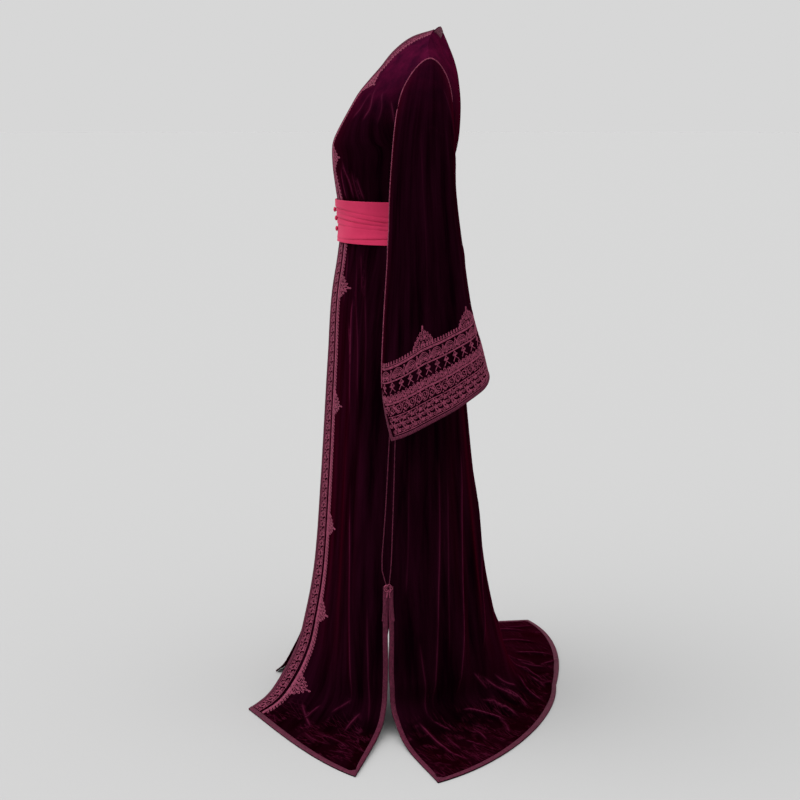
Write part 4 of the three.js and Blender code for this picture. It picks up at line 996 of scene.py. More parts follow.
SLEEVE_CREASES = [
    ([(262, 44, 1322), (285, 49, 1142), (310, 61, 878)], 11, 2.6, 0.06),
    ([(255, 89, 1323), (265, 100, 1139), (280, 132, 888)], 11, 2.4, 0.05),
    ([(235, -1, 1262), (245, 1, 1053), (301, 4, 878)], 10, 2.4, 0.05),
    ([(283, 24, 1144), (290, 31, 972), (311, 34, 837)], 10, -2.4, 0),
    ([(240, 95, 1386), (245, 109, 1323), (240, 110, 1240)], 6, 1.8, 0.14),
    ([(225, 105, 1300), (238, 112, 1240), (235, 118, 1150)], 7, 1.8, 0.12),
    ([(200, 80, 1200), (212, 110, 1080), (225, 140, 960)], 9, 2.6, 0.08),
    ([(195, 40, 1150), (202, 50, 1000), (212, 62, 860)], 11, 3.0, 0.06),
]
MIRRORED_SHIFT = (3, -6, 14)  # the hidden side has like creases in other places


def add_creases(net, creases, side="left"):
    for spots, width, height, ridge_highlight in creases:
        spots = np.array(spots, float)
        if side == "right":
            spots = mirror(spots + MIRRORED_SHIFT)
        net.crease(spots, width, height, ridge_highlight)
    net.find_normals()


for side in ("left", "right"):
    add_creases(fronts[side], FRONT_CREASES, side)
    add_creases(sleeves[side], SLEEVE_CREASES, side)
add_creases(back, BACK_CREASES)
print("creases:", 2 * len(FRONT_CREASES) + 2 * len(SLEEVE_CREASES) + len(BACK_CREASES))


# %% Cut the cloth
def velvet_piece(name, net):
    marks = {mark: np.concatenate([getattr(net, mark)] * 2) for mark in MARKS}
    return add_piece(name, *shell(net, VELVET), velvet, cloth_uv(net), marks=marks)


for side, net in fronts.items():
    piece = velvet_piece(f"velvet_front_{side}", net)
    show(piece, "velvet", f"front_{side}")
piece = velvet_piece("velvet_back", back)
show(piece, "velvet", "back")
for side, net in sleeves.items():
    piece = velvet_piece(f"velvet_sleeve_{side}", net)
    show(piece, "velvet", f"sleeve_{side}")

# %% [markdown]
# ## Braids and seam cords
#
# A flat plaited braid is sewn over each raw edge. It is drawn as a ribbon with two plaits, a little higher
# along the plaits than between them, and laid between two lines on the cloth. At the corners the hem braid
# is mitred.

# %% Braid round the hems and up the slits
SLIT_TOP = 318  # height above the floor to which the hem braid climbs the slit
NECK_COLUMN = (BACK_COLUMNS - 1) * 0.405  # the back neck ends here, counted from the centre back
NECK_SPACING = np.linalg.norm(np.diff(back.points[0], axis=0), axis=1).mean()  # between two columns there
STEP = 5.0  # distance between two rings of a braid
WIDEST_HEM_BRAID = 12.5  # on the train, where the net is stretched


def distances(low, high, step=STEP):
    return np.linspace(low, high, max(2, round(abs(high - low) / step) + 1))


def true_width(net, outer, inner):
    """Moves the inner line of a hem braid, so that the braid is nowhere wider than its widest."""
    edge, away = net.at(*outer.T, 0), net.at(*inner.T, 0) - net.at(*outer.T, 0)
    along = unit(np.gradient(edge, axis=0))
    apart = np.linalg.norm(away - (away * along).sum(1)[:, None] * along, axis=1)
    share = np.clip(WIDEST_HEM_BRAID / np.maximum(apart, 1.0), 0.3, 1.1)
    share = np.convolve(np.pad(share, 3, mode="edge"), np.ones(7) / 7, "valid")
    return mix(outer, inner, share[:, None])


for side, net in fronts.items():
    length = net.downs[-1]
    strands = Strands()
    down = distances(1.0, length - HEM_BRAID - 1)
    braid(strands, net, front_spot(net, down, 0 * down), front_spot(net, down, FRONT_BRAID + 0 * down))
    show(strands.piece(f"braid_front_edge_{side}", flat_braid), "cord", f"front_braid_{side}")
    strands = Strands()
    width = net.widths[-1]
    low_width = np.interp(length - HEM_BRAID, net.downs, net.widths)
    t = distances(0, width) / width
    outer = front_spot(net, length + 0 * t, t * width)
    inner = front_spot(net, length - HEM_BRAID + 0 * t, t * (low_width - HEM_BRAID))
    up = distances(length, down_at(net, SLIT_TOP))[1:]
    in_up = np.minimum(up, length - HEM_BRAID)
    outer = np.vstack([outer, front_spot(net, up, np.interp(up, net.downs, net.widths))])
    inner = np.vstack([inner, front_spot(net, in_up, np.interp(in_up, net.downs, net.widths) - HEM_BRAID)])
    braid(strands, net, true_width(net, outer, inner), outer, high=1.7)
    show(strands.piece(f"braid_hem_front_{side}", flat_braid), "cord", f"hem_braid_front_{side}")

strands = Strands()
foot = back_length - HEM_BRAID
down = distances(down_at(back, SLIT_TOP, BACK_COLUMNS - 1), back_length)
in_down = np.minimum(down, foot)
t = distances(0, back.widths[-1]) / back.widths[-1]
outer, inner = [], []
for side, widths, order in (("left", back.widths, 1), ("right", back.right_widths, -1)):
    low_width = np.interp(foot, back.downs, widths)
    along_slit = back_spot(down, 0 * down, side)
    along_hem = back_spot(back_length + 0 * t, t * widths[-1], side)
    outer.append(np.vstack([along_slit, along_hem])[::order])
    along_slit = back_spot(in_down, HEM_BRAID + 0 * down, side)
    along_hem = back_spot(foot + 0 * t, mix(HEM_BRAID, low_width, t), side)
    inner.append(np.vstack([along_slit, along_hem])[::order])
inner, outer = np.vstack(inner), np.vstack(outer)
braid(strands, back, true_width(back, outer, inner), outer, high=1.7)
show(strands.piece("braid_hem_back", flat_braid), "cord", "hem_braid_back")

# %% Braid across the back neck
strands = Strands()
t = np.linspace(-1, 1, 61)
turned = ease((np.abs(t) - 0.72) / 0.28)  # its ends turn to lie along the shoulder seams
edges = []
for down, beyond in ((0.5 + 0 * t, 0 * t), (mix(FRONT_BRAID + 0.5, 0.5, turned), FRONT_BRAID * turned)):
    across = BACK_COLUMNS - 1 + t * NECK_COLUMN + np.sign(t) * beyond / NECK_SPACING
    edges.append(np.stack([np.interp(down, back.downs, np.arange(back.rows)), across], -1))
braid(strands, back, *edges)
show(strands.piece("braid_back_neck", flat_braid), "cord", "neck_braid_back")

# %% Round cords down the side seams
# Heights down the cords, and how far the front and the back one lie from the seam there.
SIDE_CORD_HEIGHTS = (800, 640, 480, 380, 350, 322)
SIDE_CORDS_OFF = {"front": (6, 6, 10, 15, 14, 5), "back": (6, 6, 6, 5, 4, 2)}
for side, net in fronts.items():
    for name, cloth_net in (("front", net), ("back", back)):
        strands = Strands()
        down = distances(down_at(cloth_net, 800, -1), down_at(cloth_net, 322, -1), 6)
        height = -np.interp(down, cloth_net.downs, -cloth_net.points[:, -1, 2])
        off_seam = np.interp(-height, -np.array(SIDE_CORD_HEIGHTS, float), SIDE_CORDS_OFF[name])
        if name == "front":
            spots = front_spot(net, down, np.interp(down, net.downs, net.widths) - off_seam)
        else:
            spots = back_spot(down, off_seam, side)
        strands.add(round_cord(cloth_net.at(spots[:, 0], spots[:, 1], VELVET / 2 + 0.8), 1.2))
        show(strands.piece(f"seam_cord_{name}_{side}", flat_braid), "cord", f"side_cord_{name}_{side}")

# %% Cords over the armholes and down the sleeves
for side, net in sleeves.items():
    strands = Strands()
    top = net.at(np.zeros(120), np.linspace(0, net.columns - 1, 121)[:-1], VELVET / 2 + 0.7)
    strands.add(round_cord(top, 1.5, closed=True), closed=True)
    show(strands.piece(f"piping_armhole_{side}", couching_cord), "cord", f"armhole_piping_{side}")
    strands = Strands()
    rows = np.linspace(3, cuff_spot(net, CUFF_SLIT + CUFF_BRAID, 0)[0], 110)
    two_edges = [net.at(rows, column + 0 * rows, VELVET / 2 + 0.6) for column in (0, net.columns)]
    seam = sum(two_edges) / 2
    strands.add(round_cord(seam, 1.3))
    show(strands.piece(f"seam_cord_sleeve_{side}", couching_cord), "cord", f"sleeve_cord_{side}")
    # The cuff braid runs up one edge of the slit, round the hem and up the other.
    strands = Strands()
    up = distances(CUFF_SLIT, 0, 4)
    inner_up = np.maximum(up, CUFF_BRAID)
    in_share = CUFF_BRAID / net.girth
    t = np.linspace(0, 1, 140)
    outer = np.vstack(
        [cuff_spot(net, up, 0 * up), cuff_spot(net, 0 * t, t), cuff_spot(net, up[::-1], 1 + 0 * up)]
    )
    inner = np.vstack(
        [
            cuff_spot(net, inner_up, in_share + 0 * up),
            cuff_spot(net, CUFF_BRAID + 0 * t, mix(in_share, 1 - in_share, t)),
            cuff_spot(net, inner_up[::-1], 1 - in_share + 0 * up),
        ]
    )
    braid(strands, net, inner, outer)
    show(strands.piece(f"braid_cuff_{side}", flat_braid), "cord", f"cuff_braid_{side}")

# %% [markdown]
# ## Couched embroidery
#
# The couching is one fine cord bent into traditional scrolls, leaves, rosettes and buds, and sewn down.
# Each motif is drawn flat, in millimetres, as a few lines on a strip: x runs along the strip and y up it. A
# strip repeats its motif, and a small function says where a place on the strip lies on the cloth. The cord
# itself is real geometry, because its rounded edges are what the light picks out.

# %% Lines of cord, in millimetres
CORD_STEP = 2.7  # distance between two rings of a couched cord


def arc(x, y, radius, start, end, squash=1.0):
    count = max(4, math.ceil(abs(math.radians(end - start)) * radius / CORD_STEP) + 1)
    a = np.radians(np.linspace(start, end, count))
    return np.stack([x + radius * np.cos(a), y + radius * squash * np.sin(a)], -1)


def circle(x, y, radius):
    return arc(x, y, radius, 0, 360)


def curl(x, y, radius, start, turn, inner=0.22):
    """A spiral that winds in towards its middle, by turn degrees."""
    count = max(7, math.ceil(abs(math.radians(turn)) * radius * 0.62 / CORD_STEP))
    t = np.linspace(0, 1, count)
    a = np.radians(start + turn * t)
    r = radius * mix(1, inner, t)
    return np.stack([x + r * np.cos(a), y + r * np.sin(a)], -1)


def leaf(x, y, length, width, angle):
    """A pointed oval whose foot is at x, y."""
    count = max(8, 2 * math.ceil(length / CORD_STEP))
    a = np.linspace(0, 2 * math.pi, count, endpoint=True)
    along = length * (0.5 - 0.5 * np.cos(a))
    side = width / 2 * np.sin(a) * np.abs(np.sin(a / 2)) ** 0.6
    c, s = math.cos(math.radians(angle)), math.sin(math.radians(angle))
    return np.stack([x + along * c - side * s, y + along * s + side * c], -1)


def line(*corners):
    corners = np.array(corners, float)
    pieces = []
    for a, b in zip(corners[:-1], corners[1:]):
        count = max(2, math.ceil(np.linalg.norm(b - a) / (2 * CORD_STEP)) + 1)
        pieces.append(mix(a, b, np.linspace(0, 1, count)[:, None])[:-1])
    return np.vstack([*pieces, corners[-1:]])


# %% Motifs, one repeat each; wide is the length of the repeat and high its height
FLOWERS = [(0.25, 0.17), (0.75, 0.2), (0.02, 0.5), (0.5, 0.5), (0.28, 0.82), (0.77, 0.8)]


def leaves(wide, high, *rows):
    """Leaves from rows of x, y and length as shares of the repeat, then the width and the lean of each."""
    return [leaf(wide * x, high * y, high * long, broad, lean) for x, y, long, broad, lean in rows]


def circles(wide, high, *rows):
    return [circle(wide * x, high * y, radius) for x, y, radius in rows]


def rule(wide, high):
    return [line((0, 0), (wide, 0)), line((0, high), (wide, high))]


def field(wide, high):
    """A close filling of small flowers and curls, in three staggered rows."""
    found = rule(wide, high)
    for n, (x, y) in enumerate(FLOWERS):
        x, y = wide * x, high * y
        if n % 2:
            found += [leaf(x, y, 5.2, 2.6, angle) for angle in (20, 92, 164, 236, 308)]
        else:
            turn = -500 if n % 4 == 0 else 500
            found += [curl(x, y, 4.6, 60 * n, turn), leaf(x + 4.0, y + 3.0, 4.6, 2.4, 100)]
        found.append(circle(x + wide * 0.24, y + 1.5, 0.9))
    return found


def running_scroll(wide, high):
    """A vine that swings from side to side, with a curl in each bend."""
    x = np.linspace(0, wide, 15)
    vine = np.stack([x, high * (0.5 - 0.4 * np.cos(2 * math.pi * x / wide))], -1)
    return [
        vine,
        curl(wide * 0.5, high * 0.42, high * 0.32, 90, -520),
        curl(wide * 0.02, high * 0.58, high * 0.32, -90, -520),
        *leaves(wide, high, (0.27, 0.5, 0.46, 4.6, 105), (0.77, 0.5, 0.46, 4.6, -75)),
        *leaves(wide, high, (0.32, 0.42, 0.4, 3.8, -60), (0.82, 0.58, 0.4, 3.8, 120)),
        *circles(wide, high, (0.25, 0.06, 1.3), (0.75, 0.94, 1.3)),
    ]


def rosettes(wide, high):
    """Six-petalled flowers with a pointed bud between each two."""
    x, y = wide * 0.5, high * 0.45
    petals = []
    for a in np.radians(range(30, 390, 60)):
        petals.append(leaf(x + 1.8 * math.cos(a), y + 1.8 * math.sin(a), high * 0.38, 4.4, math.degrees(a)))
    return petals + [
        circle(x, y, 1.4),
        leaf(0, high * 0.12, high * 0.72, 5.0, 90),
        leaf(0.6, high * 0.1, high * 0.5, 3.4, 48),
        leaf(-0.6, high * 0.1, high * 0.5, 3.4, 132),
        line((0, 0), (wide, 0)),
    ]


def buds(wide, high):
    """A bud on two crossed stems."""
    x = wide / 2
    return [
        line((x - 6, 0), (x + 1.5, high * 0.52)),
        line((x + 6, 0), (x - 1.5, high * 0.52)),
        *leaves(wide, high, (0.5, 0.48, 0.4, 5.4, 90)),
        *leaves(wide, high, (0.5, 0.52, 0.26, 3.6, 30), (0.5, 0.52, 0.26, 3.6, 150)),
        circle(x, high * 0.92, 1.2),
    ]


def half_palmettes(wide, high):
    """A rising wave with two ribs, curls and berries under it."""
    waves = []
    for half, rise, start, end in ((0.44, 0.88, 6, 172), (0.36, 0.74, 0, 176), (0.28, 0.58, 0, 180)):
        squash = high * rise / (wide * half)
        waves.append(arc(wide * 0.46, high * 0.08, wide * half, start, end, squash=squash))
    return waves + [
        curl(wide * 0.46, high * 0.3, high * 0.24, 0, 560),
        *leaves(wide, high, (0.2, 0.06, 0.4, 4.2, 65), (0.72, 0.06, 0.4, 4.2, 115)),
        *leaves(wide, high, (0.93, 0.2, 0.62, 4.4, 80)),
        *circles(wide, high, (0.93, 0.1, 1.5), (0.97, 0.9, 1.4)),
    ]


def comb(wide, high):
    """Teeth on two lines."""
    return rule(wide, high * 0.3) + [leaf(wide / 2, high * 0.3, high * 0.7, wide * 0.42, 90)]


def point(wide, high):
    """The pointed patch that stands on a border: curls at its foot, rings and leaves up to its tip."""
    half = wide / 2
    found = [line((0, 0.5), (wide, 0.5)), circle(half, high * 0.12, 3.0), circle(half, high * 0.12, 1.2)]
    for s in (-1, 1):
        turn = 90 - 90 * s
        found += [
            curl(half + s * half * 0.48, high * 0.2, high * 0.17, turn, s * 520),
            curl(half + s * half * 0.2, high * 0.46, high * 0.12, turn, s * 470),
            leaf(half + s * half * 0.93, high * 0.03, high * 0.26, 4.0, 90 + s * 14),
            leaf(half + s * half * 0.74, high * 0.2, high * 0.24, 3.8, 90 + s * 2),
            leaf(half + s * half * 0.46, high * 0.4, high * 0.22, 3.8, 90 - s * 6),
            leaf(half + s * half * 0.14, high * 0.28, high * 0.22, 3.4, 90 - s * 20),
            circle(half + s * half * 0.8, high * 0.12, 1.6),
            circle(half + s * half * 0.56, high * 0.44, 1.4),
            circle(half + s * half * 0.3, high * 0.64, 1.4),
            leaf(half + s * 1.5, high * 0.6, high * 0.2, 3.4, 90 - s * 40),
        ]
    found += [
        circle(half, high * 0.34, 2.2),
        leaf(half, high * 0.52, high * 0.28, 5.4, 90),
        circle(half, high * 0.84, 2.0),
        leaf(half, high * 0.88, high * 0.15, 3.2, 90),
    ]
    return found


# %% Strips of repeats, sewn on a net
def sew_strip(strands, net, motif, low, high, length, repeat, where, radius=0.9, start=0.0):
    """Repeats a motif from start for a length. where(x, y) gives rows and columns."""
    count = max(1, round(length / repeat))
    wide = length / count
    for n in range(count):
        for path in motif(wide, high - low):
            couch(strands, net, where(start + n * wide + path[:, 0], low + path[:, 1]), radius)


CUFF_STRIPS = [  # motif, from, to (mm above the hem), length of a repeat
    (field, 11.0, 49.0, 19.0),
    (running_scroll, 52.0, 74.0, 30.0),
    (rule, 75.0, 76.5, 1000.0),
    (rosettes, 77.5, 97.0, 17.0),
    (buds, 98.0, 119.0, 20.0),
    (rule, 120.0, 121.5, 1000.0),
    (half_palmettes, 122.5, 145.0, 30.0),
    (rule, 148.0, 149.5, 1000.0),
    (comb, 151.0, 162.0, 6.5),
]
CUFF_POINTS = (0.22, 0.43, 0.57, 0.78)  # their places as shares of the girth, counted from the slit
CUFF_POINT_WIDTH, CUFF_POINT_HEIGHT, CUFF_POINT_FOOT = 48.0, 38.0, 158.0
CUFF_INSET = 13.0  # bare cloth beside the slit, its braid included

for side, net in sleeves.items():
    strands = Strands()
    where = lambda x, y, net=net: cuff_spot(net, bulged(y, x / net.girth), x / net.girth)
    length = net.girth - 2 * CUFF_INSET
    for motif, low, high, repeat in CUFF_STRIPS:
        sew_strip(strands, net, motif, low, high, length, repeat, where, start=CUFF_INSET)
    for share in CUFF_POINTS:
        foot = share * net.girth - CUFF_POINT_WIDTH / 2
        for path in point(CUFF_POINT_WIDTH, CUFF_POINT_HEIGHT):
            couch(strands, net, where(foot + path[:, 0], CUFF_POINT_FOOT + path[:, 1]), 0.9)
    show(strands.piece(f"couching_cuff_{side}", couching_cord), "cord", f"cuff_band_{side}")
    print("cord on one cuff, metres:", round(strands.length / 1000, 1))

# %% Lines down the front edges: distance from the edge at the neck and on the skirt
FRONT_LINES = dict(
    band_start=(10, 11),
    band_end=(16, 36),
    picot_start=(20, 47),
    picot_end=(28, 64),
    tip=(60, 110),
)
LINES_FROM, LINES_TO = 1400, 960  # heights between which the trims reach their full width
POINT_HEIGHTS = (1385, 1222, 942, 682, 409, 216, 62)


def front_line(net, name, down):
    height = np.interp(down, net.downs, net.points[:, 0, 2])
    spread = ease((LINES_FROM - height) / (LINES_FROM - LINES_TO))
    return mix(*FRONT_LINES[name], spread)


def lace(wide, high):
    """Curls and small leaves either side of a wavy stem, between two lines, with berries in the gaps."""
    x = np.linspace(0, wide, 9)
    return [
        *rule(wide, high),
        np.stack([x, high * (0.5 + 0.16 * np.sin(2 * math.pi * x / wide))], -1),
        curl(wide * 0.27, high * 0.25, high * 0.17, 90, 480),
        curl(wide * 0.77, high * 0.75, high * 0.17, -90, 480),
        *leaves(wide, high, (0.25, 0.62, 0.32, 4.0, 70), (0.75, 0.38, 0.32, 4.0, -70)),
        *leaves(wide, high, (0.5, 0.52, 0.38, 3.4, 118), (0.0, 0.5, 0.38, 3.4, -62)),
        *leaves(wide, high, (0.02, 0.58, 0.34, 3.4, 76), (0.52, 0.42, 0.34, 3.4, -104)),
        *circles(wide, high, (0.5, 0.1, 1.2), (0.05, 0.9, 1.2), (0.6, 0.2, 0.9), (0.12, 0.82, 0.9)),
    ]


def neck_lace(wide, high):
    """A stem between two lines, with one curl and two berries: beside the neck there is no room for more."""
    x = np.linspace(0, wide, 7)
    return [
        *rule(wide, high),
        np.stack([x, high * (0.5 + 0.2 * np.sin(2 * math.pi * x / wide))], -1),
        curl(wide * 0.72, high * 0.74, high * 0.16, -90, 400),
        *circles(wide, high, (0.28, 0.24, 1.4), (0.02, 0.84, 1.0)),
    ]


LACE_HIGH = 28.0  # the lace is drawn this wide and then fitted to the band
NECK_LACE_LONG = 330.0  # the narrow part above the waist, where the repeats are shorter
TOOTH_STEP = 7.5  # distance between two teeth of the picot braid
POINT_WIDE = 54.0
for side, net in fronts.items():
    foot = net.downs[-1] - HEM_BRAID - 2

    def in_band(x, y, first, last, high, net=net):
        low = front_line(net, first, x)
        return front_spot(net, x, mix(low, front_line(net, last, x), y / high))

    strands = Strands()
    where = lambda x, y: in_band(x, y, "band_start", "band_end", LACE_HIGH)
    sew_strip(strands, net, neck_lace, 0, LACE_HIGH, NECK_LACE_LONG, 16.0, where, start=2.0, radius=0.6)
    lower = foot - NECK_LACE_LONG - 2
    sew_strip(strands, net, lace, 0, LACE_HIGH, lower, 22.0, where, start=2.0 + NECK_LACE_LONG)
    show(strands.piece(f"couching_front_{side}", couching_cord), "cord", f"front_band_{side}")

    strands = Strands()
    down = distances(2.0, foot)
    low = front_line(net, "picot_start", down)
    half = mix(low, front_line(net, "picot_end", down), 0.5)
    braid(strands, net, front_spot(net, down, low), front_spot(net, down, half), high=1.3)
    spot = 4.0
    while spot < foot - 6:
        reach = front_line(net, "picot_end", spot) - front_line(net, "picot_start", spot)
        base = front_line(net, "picot_start", spot) + reach * 0.45
        tooth = leaf(0, 0, reach * 0.62, 4.0, 62)
        couch(strands, net, front_spot(net, spot + tooth[:, 0], base + tooth[:, 1]), 1.0)
        spot += TOOTH_STEP
    for height in POINT_HEIGHTS:
        middle = down_at(net, height)
        deep = float(front_line(net, "tip", middle) - front_line(net, "picot_start", middle))
        for path in point(POINT_WIDE, deep):
            across = front_line(net, "picot_start", middle) + path[:, 1]
            couch(strands, net, front_spot(net, middle - POINT_WIDE / 2 + path[:, 0], across), 1.0)
    show(strands.piece(f"couching_points_{side}", couching_cord), "cord", f"front_picots_{side}")
    print("cord down one front, metres:", round(strands.length / 1000, 1))

# %% [markdown]
# ## The sash and its buttons
#
# The sash is one strip of crepe, pleated by hand and wrapped round the waist. Its pleats lean: in front
# they lie nearly level and apart, and towards the sides they close up and dip. A pleat is a soft swell that
# ends in a tuck.

# %% Sash
SASH_TOP, SASH_HIGH, SASH_OFF_BODY, SASH_CLOTH = 1129.0, 92.0, 6.0, 2.5
SASH_ROWS, SASH_COLUMNS = 75, 160
SWELL, SWELL_ABOVE, SWELL_WIDE = 1.1, 4.0, 4.5  # a pleat's swell, its place above the tuck, its half width
TUCK, TUCK_WIDE = 2.2, 1.3
# How far each tuck lies below the top at the centre front, the left side, the centre back and the right side.
TUCKS = [(18, 35, 22, 33), (28, 47, 34, 45), (40, 55, 47, 53), (55, 62, 58, 61), (86, 79, 83, 80)]
body_numbers = smooth_table([-row[0] for row in BODY], [row[1:] for row in BODY])


def body_ring(height, turn):
    """Points on the body's ring at each height. turn goes once round, from the centre front by the left
    side."""
    front, back_y, side_x, side_y, full, prow = body_numbers(-height).T
    quarter = np.minimum(turn, 1 - turn) * 4
    is_front = quarter <= 1
    share = np.where(is_front, quarter, 2 - quarter)
    inner_y = np.where(is_front, front, back_y)
    zero = 0 * height
    ends = np.stack(
        [
            np.stack([zero, inner_y, height], -1),
            np.stack([side_x * full, inner_y + np.where(is_front, prow * full * side_x, 0), height], -1),
            np.stack([side_x, mix(side_y, inner_y, full), height], -1),
            np.stack([side_x, side_y, height], -1),
        ],
        -2,
    )
    points = bezier(ends, share)
    ahead, behind = bezier(ends, np.minimum(share + 0.01, 1)), bezier(ends, np.maximum(share - 0.01, 0))
    along = (ahead - behind) * np.where(is_front, 1, -1)[:, None]
    outward = unit(np.stack([along[:, 1], -along[:, 0], zero], -1))
    flip = np.stack([np.where(turn > 0.5, -1, 1), 1 + zero, 1 + zero], -1)
    return points * flip, outward * flip


def sash_net():
    turn = np.linspace(0, 1, SASH_COLUMNS, endpoint=False)
    drop = np.linspace(0, 1, SASH_ROWS)
    tucks = smooth_table([-0.25, 0, 0.25, 0.5, 0.75, 1, 1.25], np.array(TUCKS).T[[3, 0, 1, 2, 3, 0, 1]])(turn)
    turns, drops = np.meshgrid(turn, drop)
    below = drops * SASH_HIGH
    out = 1.4 * np.sin(math.pi * drops) ** 0.5 + 0.5 * np.sin(turns * 31 + below * 0.06)
    for k in range(tucks.shape[1]):
        away = below - tucks[:, k][None]
        strong = 0.65 + 0.35 * np.cos(2 * math.pi * (turns * 3 + k * 0.37))
        swell = SWELL * np.exp(-(((away + SWELL_ABOVE) / SWELL_WIDE) ** 2))
        out += strong * (swell - TUCK * np.exp(-((away / TUCK_WIDE) ** 2)))
    points, outward = body_ring((SASH_TOP - below).ravel(), turns.ravel())
    points = points + outward * (SASH_OFF_BODY + out.ravel())[:, None]
    return Net(points.reshape(SASH_ROWS, SASH_COLUMNS, 3), -1, closed=True)


sash = sash_net()
piece = add_piece("sash_pleated", *shell(sash, SASH_CLOTH), sash_cloth, cloth_uv(sash))
show(piece, "sash", "sash")

# %% Covered buttons with their loops
BUTTON_RADIUS, BUTTON_HEIGHTS = 5.6, (1106, 1087, 1064)
for n, height in enumerate(BUTTON_HEIGHTS):
    strands = Strands()
    row = (SASH_TOP - height) / SASH_HIGH * (SASH_ROWS - 1)
    seat = sash.at(row, 0.0, SASH_CLOTH / 2)
    rings = []
    for up in np.linspace(-80, 80, 11):
        a = np.linspace(0, 2 * math.pi, 20, endpoint=False)
        r = BUTTON_RADIUS * math.cos(math.radians(up))
        y = seat[1] - 2.4 - 3.2 * math.sin(math.radians(up))
        rings.append(np.stack([r * np.cos(a), y + 0 * a, height + r * np.sin(a)], -1))
    strands.add(np.array(rings))
    show(strands.piece(f"button_covered_{n + 1}", sash_cloth), "sash", f"sash_button_{n + 1}")

# %% [markdown]
# ## Knots at the tops of the slits
#
# Each slit is closed above by a knot of doubled cord, and two short braid tabs hang from it over the slit's
# edges. The knot is made as a real cord that winds twice through itself, so it has the right lumps from
# every side.

# %% Knots and tabs
KNOT_CORD = 1.5  # radius of the knot's cord
KNOT_RADIUS, KNOT_WEAVE = 6.4, 2.4  # radius of the knot, and how far its cord weaves in and out
TAB_LONG, TAB_WIDE, TAB_SPREAD = 62.0, 7.5, 7.0
for side, s in (("left", 1), ("right", -1)):
    net = fronts[side]
    front_edge = net.at(*front_spot(net, down_at(net, SLIT_TOP, -1), 10000.0))
    back_edge = back.at(*back_spot(down_at(back, SLIT_TOP, -1), 0.0, side))
    centre = (front_edge + back_edge) / 2
    t = np.linspace(0, 2 * math.pi, 90, endpoint=False)
    radius = KNOT_RADIUS + KNOT_WEAVE * np.cos(5 * t)
    knot = np.stack(
        [
            centre[0] + s * (5.8 + 1.5 * np.sin(5 * t)),
            centre[1] + radius * np.cos(2 * t),
            centre[2] - 4 + radius * np.sin(2 * t),
        ],
        -1,
    )
    strands = Strands()
    strands.add(round_cord(knot, KNOT_CORD, closed=True), closed=True)
    for lean in (-1, 1):
        drop = np.linspace(0, 1, 12)
        strand = np.stack(
            [
                centre[0] + s * (5.2 + 1.2 * drop),
                centre[1] + lean * (1.4 + 1.8 * drop),
                centre[2] - 8 - 16 * drop,
            ],
            -1,
        )
        strands.add(round_cord(strand, 1.4))
    show(strands.piece(f"knot_slit_{side}", couching_cord), "cord", f"knot_{side}")
    for name, lean in (("front", -1), ("back", 1)):
        strands = Strands()
        drop = np.linspace(0, 1, 26)
        middle = np.stack(
            [
                centre[0] + s * (4.2 + 6.5 * drop),
                centre[1] + lean * (5.2 + (TAB_SPREAD - 2) * drop**1.2),
                centre[2] - 13 - TAB_LONG * drop,
            ],
            -1,
        )
        rings = []
        for share, height in BRAID_SECTION:
            rings.append(middle + np.array([s * 1.3 * height, (share - 0.5) * TAB_WIDE * lean, 0]))
        rings = np.stack(rings, axis=1)
        strands.add(rings if s * lean > 0 else rings[:, ::-1])
        show(strands.piece(f"tab_{name}_{side}", flat_braid), "cord", f"knot_tab_{name}_{side}")

# %% [markdown]
# ## Floor, light and camera
#
# The part stands on a wide pale floor under a pale sky of the same grey, so that no horizon shows. One part
# of the sky, above and in front, is brighter, as a large softbox would be: it shows the nap without hard
# shadows.

# %% The studio
FLOOR_RADIUS = 60.0  # metres, so far that its edge lies on the horizon
FLOOR_GREY = "#afafaf"


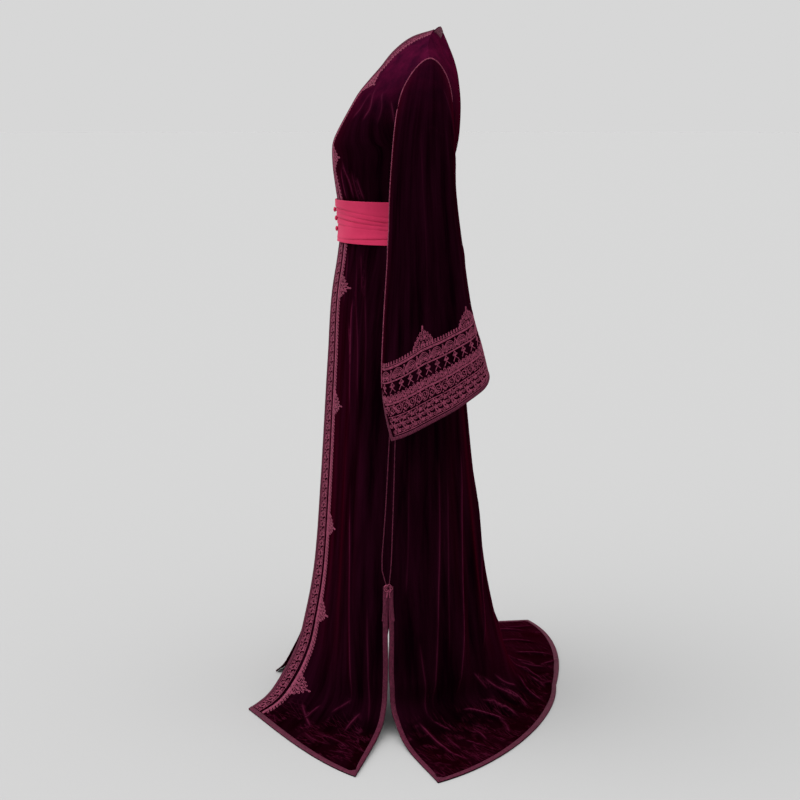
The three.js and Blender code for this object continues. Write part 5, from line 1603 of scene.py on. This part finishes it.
def make_floor():
    material, tree, shader = new_material("matt_studio_floor", {"Roughness": 1.0, "Specular IOR Level": 0.0})
    spots = add_node(tree, "TexNoise", {"Scale": 0.6, "Detail": 1.0})
    grey = add_node(tree, "ValToRGB", {"Fac": spots}, stops=[(0.3, FLOOR_GREY), (0.7, FLOOR_GREY)])
    tree.links.new(grey, shader.inputs["Base Color"])
    turns = 64
    a = np.linspace(0, 2 * math.pi, turns, endpoint=False)
    radii = [0.5, 1.5, 4.0, 12.0, FLOOR_RADIUS]
    points = [(0, 0, 0)] + [(r * math.cos(b), r * math.sin(b), 0) for r in radii for b in a]
    faces = [[0, 1 + n, 1 + (n + 1) % turns] for n in range(turns)]
    for k in range(len(radii) - 1):
        for n in range(turns):
            here, after = 1 + k * turns + n, 1 + k * turns + (n + 1) % turns
            faces.append([here, here + turns, after + turns, after])
    add_piece("studio_floor", np.array(points) * 1000, faces, material)


make_floor()


# %% Light
SOFTBOX_TOWARD = (0.25, -0.45, 0.85)
SOFTBOX_STRENGTH = 1.6
SKY_STRENGTH = 0.679  # the grey that shows behind the part


def make_daylight():
    """A pale sky that is brighter in one broad patch, above and in front, as under a large softbox."""
    world = bpy.data.worlds.new("soft_daylight")
    bpy.context.scene.world = world
    world.use_nodes = True
    tree = world.node_tree
    direction = add_node(tree, "TexCoord", out="Generated")
    toward = tuple(unit(np.array(SOFTBOX_TOWARD)))
    near = add_node(tree, "VectorMath", {0: direction, 1: toward}, out="Value", operation="DOT_PRODUCT")
    patch = {"Value": near, "From Min": 0.15, "From Max": 0.95, "To Max": SOFTBOX_STRENGTH}
    softbox = add_node(tree, "MapRange", patch, interpolation_type="SMOOTHSTEP")
    strength = add_node(tree, "Math", {0: softbox, 1: SKY_STRENGTH}, operation="ADD")
    tree.links.new(strength, tree.nodes["Background"].inputs["Strength"])
    tree.nodes["Background"].inputs["Color"].default_value = colour("#ffffff")


make_daylight()
bpy.context.scene.view_settings.view_transform = "Standard"

# %% Camera
CAMERA_BACK, CAMERA_HEIGHT, CAMERA_DOWN = 4.0, 1.36, 9.66  # metres from the middle, metres up, degrees down
lens = bpy.data.cameras.new("camera")
lens.sensor_width, lens.lens = 36.0, 81.3  # millimetres
camera = bpy.data.objects.new("camera", lens)
camera.location = (CAMERA_BACK, -SHOULDER_SETBACK / 1000, CAMERA_HEIGHT - SHOULDER_HEIGHT / 1000)
camera.rotation_euler = (math.radians(90 - CAMERA_DOWN), 0, math.radians(90))
bpy.context.collection.objects.link(camera)
bpy.context.scene.camera = camera
